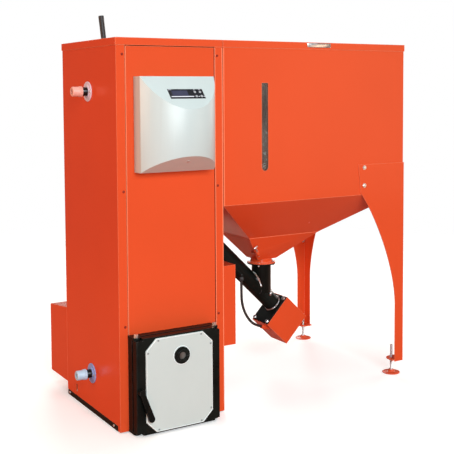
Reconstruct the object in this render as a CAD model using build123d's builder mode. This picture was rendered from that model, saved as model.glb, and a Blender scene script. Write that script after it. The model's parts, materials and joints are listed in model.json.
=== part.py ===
from build123d import *
import math
import os

# A pellet boiler: a sheet-clad boiler with a fire door, a control box and a cleaning lever,
# and beside it a hopper on two legs that feeds the burner through an inclined auger tube.
# All sizes are in millimetres. The origin is the centre of the base's underside, +X points to
# the hopper's side, +Y to the back and +Z up.

os.makedirs("parts", exist_ok=True)

# Clearances
moving_gap = 0.3
running_gap = 0.05
screw_gap = 0.1
seat_gap = 0.3
cut_overrun = 1.0

# Boiler casing
casing_width = 460.0
casing_depth = 544.0
casing_height = 1500.0
casing_sheet = 2.0
lip_height = 28.6
lip_overhang = 3.0
cover_round = 3.0
strip_width = 36.0
strip_foot = 4.0
panel_foot = 24.0
panel_notch = 22.0
return_width = 20.0
panel_tuck = 18.0
panel_recess = 2.2

# Base
rail_height = 22.0
rail_width = 15.0
rail_inset = 1.5
rail_nose = 10.0
base_plate = 4.0
skid_width = 30.0
skid_spacing = 240.0
skid_height = 26.0

# Boiler body
shell_wall = 8.0
shell_left_gap = 25.0
shell_right_gap = 40.0
shell_neck_gap = 135.0
shell_step = 600.0
shell_top_drop = 60.0
shell_rear_gap = 37.0
partition_y = 52.0
partition_drop = 250.0
tube_plate_low = 380.0
tube_plate_drop = 260.0
tube_radius = 30.0
tube_bore = 27.0
tube_rows = 2
tube_columns = 3
tube_pitch_wide = 90.0
tube_pitch_deep = 78.0
outlet_width = 150.0
outlet_height = 210.0
outlet_z = 195.0
wool_foot = 430.0
wool_top_drop = 70.0
wool_front = 11.0
wool_side = 6.0

# Screws
screw_head = 5.0
screw_head_height = 2.5
screw_shank = 2.0
screw_length = 8.0
strip_screw_inset = 25.0
strip_screw_low = 408.0
strip_screw_drop = 34.1
rail_screw_ys = (-207.0, 252.0)
rail_screw_z = 12.0
rail_screw_head = 6.0

# Water pipes on the left
pipe_radius = 16.85
pipe_bore = 13.5
pipe_reach = 27.0
cap_radius = 19.25
cap_length = 41.0
cap_grip = 21.5
cap_grip_length = 12.0
cap_edge = 2.4
cap_socket = 10.0
cap_socket_depth = 14.0
grip_side_count = 12
flow_drop = 201.0
return_z = 163.0
rosette_radius = 40.0
rosette_thick = 4.0
rosette_step = 25.0
rosette_boss = 3.0
rosette_bevel = 1.3
rosette_screw_radius = 31.0
drain_y = 168.0
drain_low = 39.0
drain_high = 74.0
drain_width = 12.0
drain_radius = 5.0
drain_reach = 20.0

# Box at the back and its flue
rear_box_depth = 199.0
rear_box_low = 55.0
rear_box_high = 378.0
rear_box_drop = 23.0
flue_radius = 65.0
flue_length = 80.0
flue_z = 205.0
flue_wall = 2.0

# Burner and its cover on the right
cover_front = -132.0
cover_width = 180.0
cover_low = 223.0
cover_high = 564.0
cover_reach = 144.0
cover_corner = 6.0
burner_radius = 60.0
burner_wall = 5.0
burner_inner_end = 30.0
burner_flange = 80.0
burner_flange_thick = 8.0
burner_mouth_length = 80.0
burner_mouth_width = 76.0
fan_reach = 32.0
fan_drum = 72.0
fan_drum_length = 56.0
fan_plate = 2.0
fan_motor_radius = 30.0
fan_motor_length = 32.0
fan_shaft = 5.0
fan_hub = 12.0
fan_wheel_radius = 62.0
fan_wheel_gap = 8.0
fan_blades = 12
fan_blade_thick = 2.0
fan_blade_inner = 34.0
fan_blade_pitch = 35.0

# Fire door
door_left = -195.0
door_right = 165.0
door_low = 4.0
door_high = 375.0
frame_front = 34.5
leaf_back = 44.0
leaf_front = 75.0
leaf_foot_gap = 1.0
opening_left = -140.0
opening_right = 110.0
opening_low = 34.0
opening_high = 345.0
frame_neck = 20.0
hinge_inset = 8.0
spare_inset = 13.0
hinge_reach = 45.0
lug_radius = 14.0
lug_height = 9.0
lug_gap = 0.5
pin_radius = 5.0
bolt_head = 9.0
bolt_head_height = 13.0
spare_shank = 18.0
gasket_width = 12.0
gasket_margin = 8.0
plug_depth = 16.0
plug_margin = 10.0
plate_left = -158.0
plate_right = 131.0
plate_low = 9.0
plate_high = 369.0
plate_cut = 43.0
plate_thick = 4.0
plate_rim = 3.0
plate_screw_inset = 9.0
plate_screw_head = 4.0
sight_x = -6.0
sight_z = 290.0
sight_radius = 32.5
sight_ring_thick = 11.0
sight_step = 22.0
sight_bore = 15.0
sight_glass_thick = 4.0
sight_knob_x = 20.0
sight_knob_radius = 5.0
lever_x = -180.0
lever_z = 174.0
lever_end_x = -138.0
lever_end_z = 57.0
lever_boss = 12.0
lever_shaft = 6.0
lever_thick = 9.0
lever_width = 18.0
lever_tip_width = 24.0
lever_stand_off = 16.0
latch_width = 22.0
latch_thick = 5.0

# Ash drawer
drawer_side_gap = 5.0
drawer_wall = 3.0
drawer_height = 80.0
drawer_length = 250.0
drawer_setback = 30.0
drawer_pull_width = 110.0
drawer_pull_reach = 18.0
drawer_pull_thick = 8.0

# Control box
control_half = 158.0
control_side = 52.0
control_sagitta = 117.0
control_drop = 145.5
control_height = 361.1
control_upper_slope = 1.05
control_lower_slope = 0.55
control_wall = 3.0
window_centre = (5.0, 91.3)
window_size = (148.0, 49.2)
bezel_flange = 4.0
bezel_flange_thick = 1.5
lcd_centre = (-21.5, 87.6)
lcd_size = (67.0, 27.4)
lcd_depth = 1.5
button_radius = 5.0
button_gap = 0.1
button_pitch_x = 22.0
button_pitch_v = 21.8
button_centre = (54.0, 93.4)
button_rise = 1.5
button_flange = 6.8
button_flange_thick = 1.5
under_screw_x = 3.0
under_screw_reach = 78.0

# Cleaning lever and scrapers
rod_inset = 80.0
rod_y = 18.0
rod_radius = 8.0
grip_radius = 11.0
grip_length = 105.0
grip_lean = 6.3
cover_slot_length = 44.0
cover_slot_width = 32.0
cover_slot_shift = -5.0
carriage_drop = 210.0
carriage_thick = 8.0
scraper_rod = 4.0
scraper_disc = 20.0
carriage_margin = 24.0
scraper_thick = 3.0
scraper_pitch = 140.0
scraper_lift = 35.0
scraper_count = 6
scraper_tilt = 35.0

# Hopper
hopper_gap = 1.5
hopper_right = 1180.0
hopper_rear = 484.0
hopper_low = 838.0
hopper_sheet = 2.0
hopper_rim = 8.0
slot_left = 416.0
slot_right = 447.0
slot_low = 970.0
slot_drop = 170.0
window_margin = 11.0
window_thick = 3.0
lid_handle_left = 644.0
lid_handle_right = 766.0
lid_handle_drop = 3.0
lid_handle_height = 18.0
lid_handle_reach = 7.0
knuckle_radius = 5.0
knuckle_reach = 8.0
knuckle_rise = 4.8
knuckle_length = 40.0
knuckle_tail = 20.0
knuckle_pin = 2.5
hinge_xs = (430.0, 980.0)
fold_left = 512.0
fold_right = 889.0
fold_front = -22.0
fold_z = 647.0
neck_x = 658.0
neck_radius = 49.0
neck_wall = 3.0
neck_top = 530.0
flange_radius = 65.0
flange_thick = 5.0
flange_z = 508.0
flange_bolts = 4
flange_bolt_circle = 57.0
flange_bolt_head = 5.0
flange_bolt_height = 5.0
flange_bolt_shank = 3.0
flange_bolt_turn = 45.0

# Legs and feet
leg_sheet = 3.0
leg_flange_top = 972.0
leg_top_reach = 263.0
leg_curve_top = 848.0
leg_shoulder = 13.0
leg_pull_top = (-163.0, 740.0)
leg_pull_foot = (-52.0, 500.0)
leg_curve_end = 330.0
leg_foot_z = 60.0
leg_foot_reach = 48.0
leg_bolt_reach = 229.0
leg_bolt_heights = (879.0, 958.0)
leg_bolt_head = 8.0
leg_bolt_head_height = 5.0
leg_bolt_shank = 4.0
leg_bolt_length = 12.0
foot_plate_z = 66.0
foot_plate_thick = 5.0
foot_plate_size = 62.0
foot_inset = 34.0
foot_rod = 6.0
foot_rod_top = 130.0
foot_pad = 40.0
foot_pad_thick = 5.0
foot_boss = 13.0
foot_boss_height = 10.0
foot_nut = 10.0
foot_nut_height = 8.0

# Auger
auger_slope = 44.1
auger_radius = 38.05
auger_bore = 35.0
auger_joint_z = 368.6
auger_head = 735.0
auger_foot = 86.0
auger_cap = 5.0
down_radius = 44.45
down_bore = 41.0
motor_flange = (150.0, 120.0)
motor_flange_thick = 5.0
screw_radius = 33.0
screw_core = 12.0
screw_pitch = 62.0
screw_blade = 3.0
screw_journal = 8.0
screw_tail = 40.0
chute_radius = 35.0
chute_bore = 32.0
chute_x = 143.0
chute_low = 480.0
gearbox_size = 84.0
gearbox_length = 62.0
gearbox_corner = 8.4
motor_radius = 38.0
motor_length = 68.0
motor_cover_across = 160.0
motor_cover_length = 148.0
motor_cover_width = 130.0
motor_cover_shift = -27.0
motor_cover_sheet = 2.0
plate_bolt_head = 6.0
plate_bolt_height = 4.0
plate_bolt_inset = 9.0

# Motor cable, from a gland under the auger tube to the motor cover
cable_radius = 6.0
cable_y = 80.0
cable_route = [(533.0, 440.0), (533.0, 390.0), (535.0, 340.0), (548.0, 296.0),
               (572.0, 256.0), (604.0, 226.0), (640.0, 215.0)]
gland_radius = 10.0
gland_length = 30.0

# Thumb screw of the shut-off plate
thumb_point = (551.0, -13.0, 603.0)
thumb_foot = (581.0, 8.0, 556.0)
thumb_radius = 4.0
thumb_head_radius = 4.0
thumb_head_length = 22.0
thumb_sleeve = 7.0
thumb_sleeve_length = 24.0
thumb_arm = 50.0
thumb_arm_radius = 4.5

# Places worked out from the sizes above
left = -casing_width / 2
right = casing_width / 2
shell_left = left + shell_left_gap
shell_right = right - shell_right_gap
shell_neck_right = right - shell_neck_gap
shell_top = casing_height - shell_top_drop
partition_top = casing_height - partition_drop
tube_plate_high = casing_height - tube_plate_drop
wool_top = casing_height - wool_top_drop
flow_z = casing_height - flow_drop
control_high = casing_height - control_drop
control_low = control_high - control_height
rod_x = left + rod_inset
cover_slot_x = rod_x + cover_slot_shift
carriage_z = casing_height - carriage_drop
slot_high = casing_height - slot_drop
lid_handle_high = casing_height - lid_handle_drop
lid_handle_low = lid_handle_high - lid_handle_height
front = -casing_depth / 2
rear = casing_depth / 2
lip_low = casing_height - lip_height
panel_top = lip_low - moving_gap
strip_screw_high = panel_top - strip_screw_drop
strip_screw_heights = (strip_screw_low, (strip_screw_low + strip_screw_high) / 2, strip_screw_high)
rail_front = front + panel_notch
shell_front = rail_front
shell_rear = rear - shell_rear_gap
shell_bottom = skid_height
hex_side_count = 6
CORNER = (Align.MIN, Align.MIN, Align.MIN)
UP = (Align.CENTER, Align.CENTER, Align.MIN)
DOWN = (Align.CENTER, Align.CENTER, Align.MAX)


def save(piece, label):
    """Labels a finished piece and writes it to its own file."""
    piece.part.label = label
    export_step(piece.part, f"parts/{label}.step")


def block(x_span, y_span, z_span, mode=Mode.ADD):
    """A rectangular block between three spans, on the part being made."""
    with Locations((x_span[0], y_span[0], z_span[0])):
        Box(x_span[1] - x_span[0], y_span[1] - y_span[0], z_span[1] - z_span[0], align=CORNER, mode=mode)


def rod(start, end, radius, mode=Mode.ADD):
    """A round bar between two points, on the part being made."""
    axis = Vector(*end) - Vector(*start)
    with Locations(Plane(origin=start, z_dir=axis)):
        Cylinder(radius, axis.length, align=UP, mode=mode)


def screw(point, outward, head, height, shank, length):
    """A round-headed screw whose head stands out from the wall at the point."""
    with Locations(Plane(origin=point, z_dir=outward)):
        Cylinder(head, height, align=UP)
        Cylinder(shank, length, align=DOWN)


def screw_hole(point, outward, shank, length):
    """The clearance hole of a screw, with its mouth at the point."""
    with Locations(Plane(origin=point, z_dir=outward)):
        Cylinder(shank + screw_gap, 2 * length, mode=Mode.SUBTRACT)


# Base: two rails with rounded front ends, joined by a floor plate, and two skids for the body
rail_outer = casing_width / 2 - rail_inset
rail_inner = rail_outer - rail_width
with BuildPart() as base_frame:
    with BuildSketch() as base_outline:
        with Locations((0, (rail_front + rear) / 2)):
            Rectangle(2 * rail_outer, rear - rail_front)
        fillet(base_outline.vertices().group_by(Axis.Y)[0], rail_nose)
    extrude(amount=rail_height)
    block((-rail_inner, rail_inner), (rail_front, rear - rail_width), (base_plate, rail_height),
          Mode.SUBTRACT)
    for skid_x in (-skid_spacing / 2, skid_spacing / 2):
        block((skid_x - skid_width / 2, skid_x + skid_width / 2), (shell_front, shell_rear), (0, skid_height))
    for side in (-1, 1):
        for bolt_y in rail_screw_ys:
            screw_hole((side * rail_outer, bolt_y, rail_screw_z), (side, 0, 0), screw_shank, screw_length)
save(base_frame, "base_frame")


def shell_outline(inset):
    """Corners of the body's front view: a wide fire chamber below and a narrow tube bank above."""
    return [(shell_left + inset, shell_bottom + inset), (shell_right - inset, shell_bottom + inset),
            (shell_right - inset, shell_step - inset), (shell_neck_right - inset, shell_step - inset),
            (shell_neck_right - inset, shell_top - inset), (shell_left + inset, shell_top - inset)]


# Auger and chute lines
auger_angle = math.radians(auger_slope)
auger_dir = Vector(math.cos(auger_angle), 0, -math.sin(auger_angle))
auger_up = Vector(math.sin(auger_angle), 0, math.cos(auger_angle))
hopper_left = right + hopper_gap
hopper_mid_y = (front + hopper_rear) / 2
joint = Vector(neck_x, hopper_mid_y, auger_joint_z)
burner_y = cover_front + cover_width / 2
burner_z = (cover_low + cover_high) / 2
chute_top = joint + auger_dir * ((chute_x - neck_x) / math.cos(auger_angle))
chute_foot = Vector(chute_x, burner_y, chute_low)


def auger_point(along, across=0.0):
    """A point at a distance along the auger's axis from the joint, and across it in its plane."""
    return joint + auger_dir * along + auger_up * across


# Boiler body: a fire chamber in front of a partition, and the smoke space behind it
tube_mid_x = (shell_left + shell_neck_right) / 2
tube_mid_y = (partition_y + shell_wall + shell_rear - shell_wall) / 2
inner_left = shell_left + shell_wall
inner_right = shell_right - shell_wall
inner_neck = shell_neck_right - shell_wall
inner_rear = shell_rear - shell_wall
with BuildPart() as boiler_shell:
    with BuildSketch(Plane.XZ.offset(-shell_front)):
        with BuildLine():
            Polyline(*shell_outline(0), close=True)
        make_face()
    extrude(amount=-(shell_rear - shell_front))
    with BuildSketch(Plane.XZ.offset(-shell_front - shell_wall)):
        with BuildLine():
            Polyline(*shell_outline(shell_wall), close=True)
        make_face()
    extrude(amount=-(inner_rear - shell_front - shell_wall), mode=Mode.SUBTRACT)
    block((inner_left, inner_right), (partition_y, partition_y + shell_wall), (shell_bottom, shell_step))
    block((inner_left, inner_neck), (partition_y, partition_y + shell_wall), (shell_bottom, partition_top))
    block((opening_left, opening_right), (shell_front, shell_front + shell_wall),
          (opening_low, opening_high), Mode.SUBTRACT)
    block((-outlet_width / 2, outlet_width / 2), (inner_rear, shell_rear),
          (outlet_z - outlet_height / 2, outlet_z + outlet_height / 2), Mode.SUBTRACT)
    rod((inner_right - cut_overrun, burner_y, burner_z), (shell_right + cut_overrun, burner_y, burner_z),
        burner_radius + seat_gap, Mode.SUBTRACT)
    rod(tuple(chute_top), tuple(chute_foot), chute_radius + seat_gap, Mode.SUBTRACT)
    rod((rod_x, rod_y, shell_top - 2 * shell_wall), (rod_x, rod_y, shell_top), rod_radius + running_gap,
        Mode.SUBTRACT)
save(boiler_shell, "boiler_shell")

# Smoke tubes between two plates in the space behind the partition
bank_front = partition_y + shell_wall
bank_height = tube_plate_high + shell_wall - tube_plate_low
with BuildPart() as smoke_tubes:
    block((inner_left, inner_right), (bank_front, inner_rear), (tube_plate_low, tube_plate_low + shell_wall))
    block((inner_left, inner_neck), (bank_front, inner_rear), (tube_plate_high, tube_plate_high + shell_wall))
    with Locations((tube_mid_x, tube_mid_y, tube_plate_low)):
        with GridLocations(tube_pitch_wide, tube_pitch_deep, tube_columns, tube_rows):
            Cylinder(tube_radius, bank_height, align=UP)
            Cylinder(tube_bore, bank_height, align=UP, mode=Mode.SUBTRACT)
save(smoke_tubes, "smoke_tubes")

# Mineral wool round the upper body, behind the panels
with BuildPart() as insulation:
    block((left + casing_sheet + wool_side, shell_neck_right), (front + wool_front, rear - 2 * wool_front),
          (wool_foot, wool_top))
    block((shell_left - moving_gap, right), (shell_front - moving_gap, shell_rear + moving_gap),
          (wool_foot, wool_top), Mode.SUBTRACT)
    rod((left, 0, flow_z), (shell_left, 0, flow_z), pipe_radius + seat_gap, Mode.SUBTRACT)
save(insulation, "insulation")


def side_panel(side):
    """A side sheet with its front strip, notched foot, and returns at the back and on top."""
    with BuildPart() as panel:
        with BuildSketch(Plane.YZ.offset(side * casing_width / 2)):
            with BuildLine():
                Polyline((front, strip_foot), (rail_front, strip_foot), (rail_front, panel_foot),
                         (rear, panel_foot), (rear, panel_top), (front, panel_top), close=True)
            make_face()
        extrude(amount=-side * casing_sheet)
        for width, y, foot, step in ((strip_width, front, strip_foot, 1),
                                     (return_width, rear, panel_foot, -1)):
            block(sorted((side * casing_width / 2, side * (casing_width / 2 - width))),
                  sorted((y, y + step * casing_sheet)), (foot, panel_top))
        block(sorted((side * casing_width / 2, side * (casing_width / 2 - return_width))), (front, rear),
              (panel_top - casing_sheet, panel_top))
        for height in strip_screw_heights:
            screw_hole((side * (casing_width / 2 - strip_screw_inset), front, height), (0, -1, 0),
                       screw_shank, screw_length)
    return panel


# Left panel with its two pipe holes, rosette screw holes and drain slot
pipe_heights = (flow_z, return_z)
rosette_screws = [(0, dy, z + dz) for z in pipe_heights
                  for dy, dz in ((-rosette_screw_radius, 0), (rosette_screw_radius, 0))]
left_side = side_panel(-1)
with BuildPart() as left_panel:
    add(left_side.part)
    for height in pipe_heights:
        rod((left, 0, height), (left + casing_sheet, 0, height), pipe_radius + seat_gap, Mode.SUBTRACT)
    for _, dy, z in rosette_screws:
        screw_hole((left, dy, z), (-1, 0, 0), screw_shank, screw_length)
    with BuildSketch(Plane.YZ.offset(left)):
        with Locations((drain_y, (drain_low + drain_high) / 2)):
            SlotOverall(drain_high - drain_low, drain_width, rotation=90)
    extrude(amount=casing_sheet, mode=Mode.SUBTRACT)
save(left_panel, "left_panel")

# Right panel with the holes for the burner tube and the slanted auger tube
right_side = side_panel(1)
with BuildPart() as right_panel:
    add(right_side.part)
    rod((right - 2 * casing_sheet, burner_y, burner_z), (right, burner_y, burner_z),
        burner_radius + seat_gap, Mode.SUBTRACT)
    rod(tuple(auger_point(-auger_head)), tuple(auger_point(0)), auger_radius + seat_gap, Mode.SUBTRACT)
save(right_panel, "right_panel")

# Front panel, tucked behind the strips and cut out round the door frame's neck
face_y = front + panel_recess
tuck_half = casing_width / 2 - strip_width + panel_tuck
neck_left = opening_left - frame_neck
neck_right = opening_right + frame_neck
neck_low = opening_low - frame_neck / 2
neck_high = opening_high + frame_neck / 2
with BuildPart() as front_panel:
    block((-tuck_half, tuck_half), (face_y, face_y + casing_sheet),
          (strip_foot, panel_top - casing_sheet - seat_gap))
    block((neck_left - seat_gap, neck_right + seat_gap), (face_y, face_y + casing_sheet),
          (strip_foot, neck_high + seat_gap), Mode.SUBTRACT)
    for side in (-1, 1):
        for height in strip_screw_heights:
            screw_hole((side * (casing_width / 2 - strip_screw_inset), front, height), (0, -1, 0),
                       screw_shank, screw_length)
save(front_panel, "front_panel")

# Rear panel with the flue outlet's cut-out
with BuildPart() as rear_panel:
    block((-tuck_half, tuck_half), (rear - panel_recess - casing_sheet, rear - panel_recess),
          (panel_foot, panel_top - casing_sheet - seat_gap))
    block((-outlet_width / 2, outlet_width / 2), (rear - panel_recess - casing_sheet, rear - panel_recess),
          (outlet_z - outlet_height / 2, outlet_z + outlet_height / 2), Mode.SUBTRACT)
save(rear_panel, "rear_panel")

# Screws of the casing: front strips, rails, rosettes and the one under the control box
under_normal = Vector(0, -control_lower_slope, -1).normalized()
under_screw = (under_screw_x, front - control_side - under_screw_reach,
               control_low + control_lower_slope * under_screw_reach)
with BuildPart() as casing_screws:
    screw(under_screw, under_normal, screw_head, screw_head_height, screw_shank, screw_length)
    for side in (-1, 1):
        for height in strip_screw_heights:
            screw((side * (casing_width / 2 - strip_screw_inset), front, height), (0, -1, 0),
                  screw_head, screw_head_height, screw_shank, screw_length)
        for bolt_y in rail_screw_ys:
            screw((side * rail_outer, bolt_y, rail_screw_z), (side, 0, 0),
                  rail_screw_head, screw_head_height, screw_shank, screw_length)
    for _, dy, z in rosette_screws:
        screw((left - rosette_thick, dy, z), (-1, 0, 0), screw_head, screw_head_height, screw_shank,
              screw_length)
save(casing_screws, "casing_screws")

# Pipe stubs on the left, and the drain plug behind its slot
drain_z = drain_low + drain_width / 2
plug_end = shell_left - drain_reach
with BuildPart() as pipe_stubs:
    for height in pipe_heights:
        rod((left - pipe_reach, 0, height), (shell_left, 0, height), pipe_radius)
        rod((left - pipe_reach, 0, height), (shell_left - casing_sheet, 0, height), pipe_bore, Mode.SUBTRACT)
    rod((plug_end, drain_y, drain_z), (shell_left, drain_y, drain_z), drain_radius)
    with BuildSketch(Plane(origin=(plug_end, drain_y, drain_z), z_dir=(-1, 0, 0))):
        RegularPolygon(drain_radius, hex_side_count)
    extrude(amount=casing_sheet)
save(pipe_stubs, "pipe_stubs")


def pipe_cap(height):
    """A screwed plastic cap: a grip ring with flats, a smooth body and a hexagon socket."""
    cap_root = Plane(origin=(left - pipe_reach, 0, height), x_dir=(0, 1, 0), z_dir=(-1, 0, 0))
    with BuildPart() as cap:
        with BuildSketch(cap_root):
            Circle(cap_radius)
        extrude(amount=cap_length)
        chamfer(cap.faces().sort_by(Axis.X)[0].edges(), cap_edge)
        with BuildSketch(cap_root):
            RegularPolygon(cap_grip, grip_side_count)
        extrude(amount=cap_grip_length)
        with BuildSketch(cap_root.offset(cap_length)):
            RegularPolygon(cap_socket, hex_side_count)
        extrude(amount=-cap_socket_depth, mode=Mode.SUBTRACT)
    return cap


def rosette(height):
    """A round cover plate with a raised collar round the pipe and two screw holes."""
    wall = Plane(origin=(left, 0, height), x_dir=(0, 1, 0), z_dir=(-1, 0, 0))
    with BuildPart() as plate:
        with BuildSketch(wall):
            Circle(rosette_radius)
        extrude(amount=rosette_thick)
        chamfer(plate.faces().sort_by(Axis.X)[0].edges(), rosette_bevel)
        with BuildSketch(wall):
            Circle(rosette_step)
        extrude(amount=rosette_thick + rosette_boss)
        with BuildSketch(wall):
            Circle(pipe_radius + seat_gap)
        extrude(amount=rosette_thick + rosette_boss, mode=Mode.SUBTRACT)
        for dy in (-rosette_screw_radius, rosette_screw_radius):
            screw_hole((left - rosette_thick, dy, height), (-1, 0, 0), screw_shank, screw_length)
    return plate


flow_cap = pipe_cap(flow_z)
save(flow_cap, "flow_cap")
return_cap = pipe_cap(return_z)
save(return_cap, "return_cap")
flow_rosette = rosette(flow_z)
save(flow_rosette, "flow_rosette")
return_rosette = rosette(return_z)
save(return_rosette, "return_rosette")


# Box at the back with a sloping top, open towards the rear panel
def rear_box_outline(inset, open_gap):
    """Corners of the box's side view, drawn in by the sheet."""
    return [(rear - open_gap, rear_box_low + inset), (rear + rear_box_depth - inset, rear_box_low + inset),
            (rear + rear_box_depth - inset, rear_box_high - rear_box_drop - inset),
            (rear - open_gap, rear_box_high - inset)]


with BuildPart() as rear_box:
    with BuildSketch(Plane.YZ.offset(left)):
        with BuildLine():
            Polyline(*rear_box_outline(0, 0), close=True)
        make_face()
    extrude(amount=casing_width)
    with BuildSketch(Plane.YZ.offset(left + casing_sheet)):
        with BuildLine():
            Polyline(*rear_box_outline(casing_sheet, cut_overrun), close=True)
        make_face()
    extrude(amount=casing_width - 2 * casing_sheet, mode=Mode.SUBTRACT)
    rod((0, rear + rear_box_depth - 2 * casing_sheet, flue_z), (0, rear + rear_box_depth, flue_z),
        flue_radius - flue_wall, Mode.SUBTRACT)
save(rear_box, "rear_box")

with BuildPart() as flue_spigot:
    flue_end = rear + rear_box_depth + flue_length
    rod((0, rear + rear_box_depth, flue_z), (0, flue_end, flue_z), flue_radius)
    rod((0, rear + rear_box_depth, flue_z), (0, flue_end, flue_z), flue_radius - flue_wall, Mode.SUBTRACT)
save(flue_spigot, "flue_spigot")

# Burner cover on the right, open towards the panel
cover_back = cover_front + cover_width
with BuildPart() as burner_cover:
    block((right, right + cover_reach), (cover_front, cover_back), (cover_low, cover_high))
    fillet(burner_cover.edges().filter_by(Axis.Z).group_by(Axis.X)[-1], cover_corner)
    block((right, right + cover_reach - casing_sheet),
          (cover_front + casing_sheet, cover_back - casing_sheet),
          (cover_low + casing_sheet, cover_high - casing_sheet), Mode.SUBTRACT)
save(burner_cover, "burner_cover")

# Burner tube with its flange, closed inner end and open mouth under the chute
burner_end = right + fan_reach
with BuildPart() as burner_tube:
    rod((burner_inner_end, burner_y, burner_z), (burner_end, burner_y, burner_z), burner_radius)
    rod((shell_right, burner_y, burner_z), (shell_right + burner_flange_thick, burner_y, burner_z),
        burner_flange)
    rod((burner_inner_end + burner_wall, burner_y, burner_z), (burner_end, burner_y, burner_z),
        burner_radius - burner_wall, Mode.SUBTRACT)
    block((chute_x - burner_mouth_length / 2, chute_x + burner_mouth_length / 2 - burner_wall),
          (burner_y - burner_mouth_width / 2, burner_y + burner_mouth_width / 2),
          (burner_z, burner_z + burner_radius), Mode.SUBTRACT)
save(burner_tube, "burner_tube")

# Fan drum with its motor and the shaft that carries the wheel
fan_end = burner_end + fan_drum_length
with BuildPart() as fan_housing:
    rod((burner_end, burner_y, burner_z), (fan_end, burner_y, burner_z), fan_drum)
    rod((burner_end + fan_plate, burner_y, burner_z), (fan_end - fan_plate, burner_y, burner_z),
        fan_drum - fan_plate, Mode.SUBTRACT)
    rod((burner_end, burner_y, burner_z), (burner_end + fan_plate, burner_y, burner_z),
        burner_radius - burner_wall, Mode.SUBTRACT)
    rod((fan_end, burner_y, burner_z), (fan_end + fan_motor_length, burner_y, burner_z), fan_motor_radius)
    rod((burner_end + fan_wheel_gap, burner_y, burner_z), (fan_end, burner_y, burner_z), fan_shaft)
save(fan_housing, "fan_housing")

wheel_start = burner_end + fan_plate + fan_wheel_gap / 2
wheel_end = fan_end - fan_plate - fan_wheel_gap / 2
with BuildPart() as fan_wheel:
    rod((wheel_end - fan_blade_thick, burner_y, burner_z), (wheel_end, burner_y, burner_z), fan_wheel_radius)
    rod((wheel_start, burner_y, burner_z), (wheel_end, burner_y, burner_z), fan_hub)
    with BuildSketch(Plane(origin=(wheel_start, burner_y, burner_z), x_dir=(0, 1, 0), z_dir=(1, 0, 0))):
        with PolarLocations((fan_blade_inner + fan_wheel_radius) / 2, fan_blades):
            Rectangle(fan_wheel_radius - fan_blade_inner, fan_blade_thick, rotation=fan_blade_pitch)
    extrude(amount=wheel_end - wheel_start)
    rod((wheel_start, burner_y, burner_z), (wheel_end, burner_y, burner_z), fan_shaft + running_gap,
        Mode.SUBTRACT)
save(fan_wheel, "fan_wheel")

# Pellet chute from the auger's head down to the burner's mouth
with BuildPart() as drop_chute:
    rod(tuple(chute_top), tuple(chute_foot), chute_radius)
    rod(tuple(chute_top), tuple(chute_foot), chute_bore, Mode.SUBTRACT)
    rod(tuple(auger_point(-auger_head - auger_radius)), tuple(auger_point(0)), auger_radius + seat_gap,
        Mode.SUBTRACT)
save(drop_chute, "drop_chute")

# Ash drawer on the fire chamber's floor, with a bow handle on its front
drawer_left = opening_left + drawer_side_gap
drawer_right = opening_right - drawer_side_gap
drawer_front = shell_front + drawer_setback
drawer_floor = shell_bottom + shell_wall
drawer_mid = (drawer_left + drawer_right) / 2
with BuildPart() as ash_drawer:
    block((drawer_left, drawer_right), (drawer_front, drawer_front + drawer_length),
          (drawer_floor, drawer_floor + drawer_height))
    block((drawer_left + drawer_wall, drawer_right - drawer_wall),
          (drawer_front + drawer_wall, drawer_front + drawer_length - drawer_wall),
          (drawer_floor + drawer_wall, drawer_floor + drawer_height), Mode.SUBTRACT)
    with BuildSketch(Plane.XY.offset(drawer_floor + drawer_height / 2)):
        with Locations((drawer_mid, drawer_front)):
            Rectangle(drawer_pull_width, 2 * drawer_pull_reach)
            Rectangle(drawer_pull_width - 2 * drawer_pull_thick, 2 * (drawer_pull_reach - drawer_pull_thick),
                      mode=Mode.SUBTRACT)
        with Locations((drawer_mid, drawer_front + drawer_pull_reach)):
            Rectangle(drawer_pull_width, 2 * drawer_pull_reach, mode=Mode.SUBTRACT)
    extrude(amount=drawer_pull_thick)
save(ash_drawer, "ash_drawer")

# Fire door. The frame, the leaf and the pins share the hinge line and the spare hinge line
frame_y = front - frame_front
leaf_back_y = front - leaf_back
leaf_front_y = front - leaf_front
pin_y = front - hinge_reach
hinge_x = door_right - hinge_inset
spare_x = door_left + spare_inset
lug_z_spans = ((door_low, door_low + lug_height), (door_high - lug_height, door_high))
with BuildPart() as door_frame:
    block((door_left, door_right), (frame_y, front), (door_low, door_high))
    block((neck_left, neck_right), (front, shell_front), (neck_low, neck_high))
    block((opening_left, opening_right), (frame_y, shell_front), (opening_low, opening_high), Mode.SUBTRACT)
    for lug_x in (hinge_x, spare_x):
        for lug_low, lug_high in lug_z_spans:
            with BuildSketch(Plane.XY.offset(lug_low)):
                with Locations((lug_x, pin_y)):
                    Circle(lug_radius)
                with Locations((lug_x, (pin_y + front) / 2)):
                    Rectangle(2 * lug_radius, front - pin_y)
            extrude(amount=lug_high - lug_low)
            rod((lug_x, pin_y, lug_low), (lug_x, pin_y, lug_high), pin_radius + running_gap, Mode.SUBTRACT)
    block((door_right, right), (frame_y, front), (door_low, door_high), Mode.SUBTRACT)
save(door_frame, "door_frame")

# Hinge pin on the right and the short bolt in the spare lug on the left, both with hexagon heads
with BuildPart() as hinge_pins:
    rod((hinge_x, pin_y, door_low), (hinge_x, pin_y, door_high), pin_radius)
    rod((spare_x, pin_y, door_high - spare_shank / 2), (spare_x, pin_y, door_high), pin_radius)
    for pin_x in (hinge_x, spare_x):
        with BuildSketch(Plane.XY.offset(door_high)):
            with Locations((pin_x, pin_y)):
                RegularPolygon(bolt_head, hex_side_count)
        extrude(amount=bolt_head_height)
save(hinge_pins, "hinge_pins")

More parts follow.
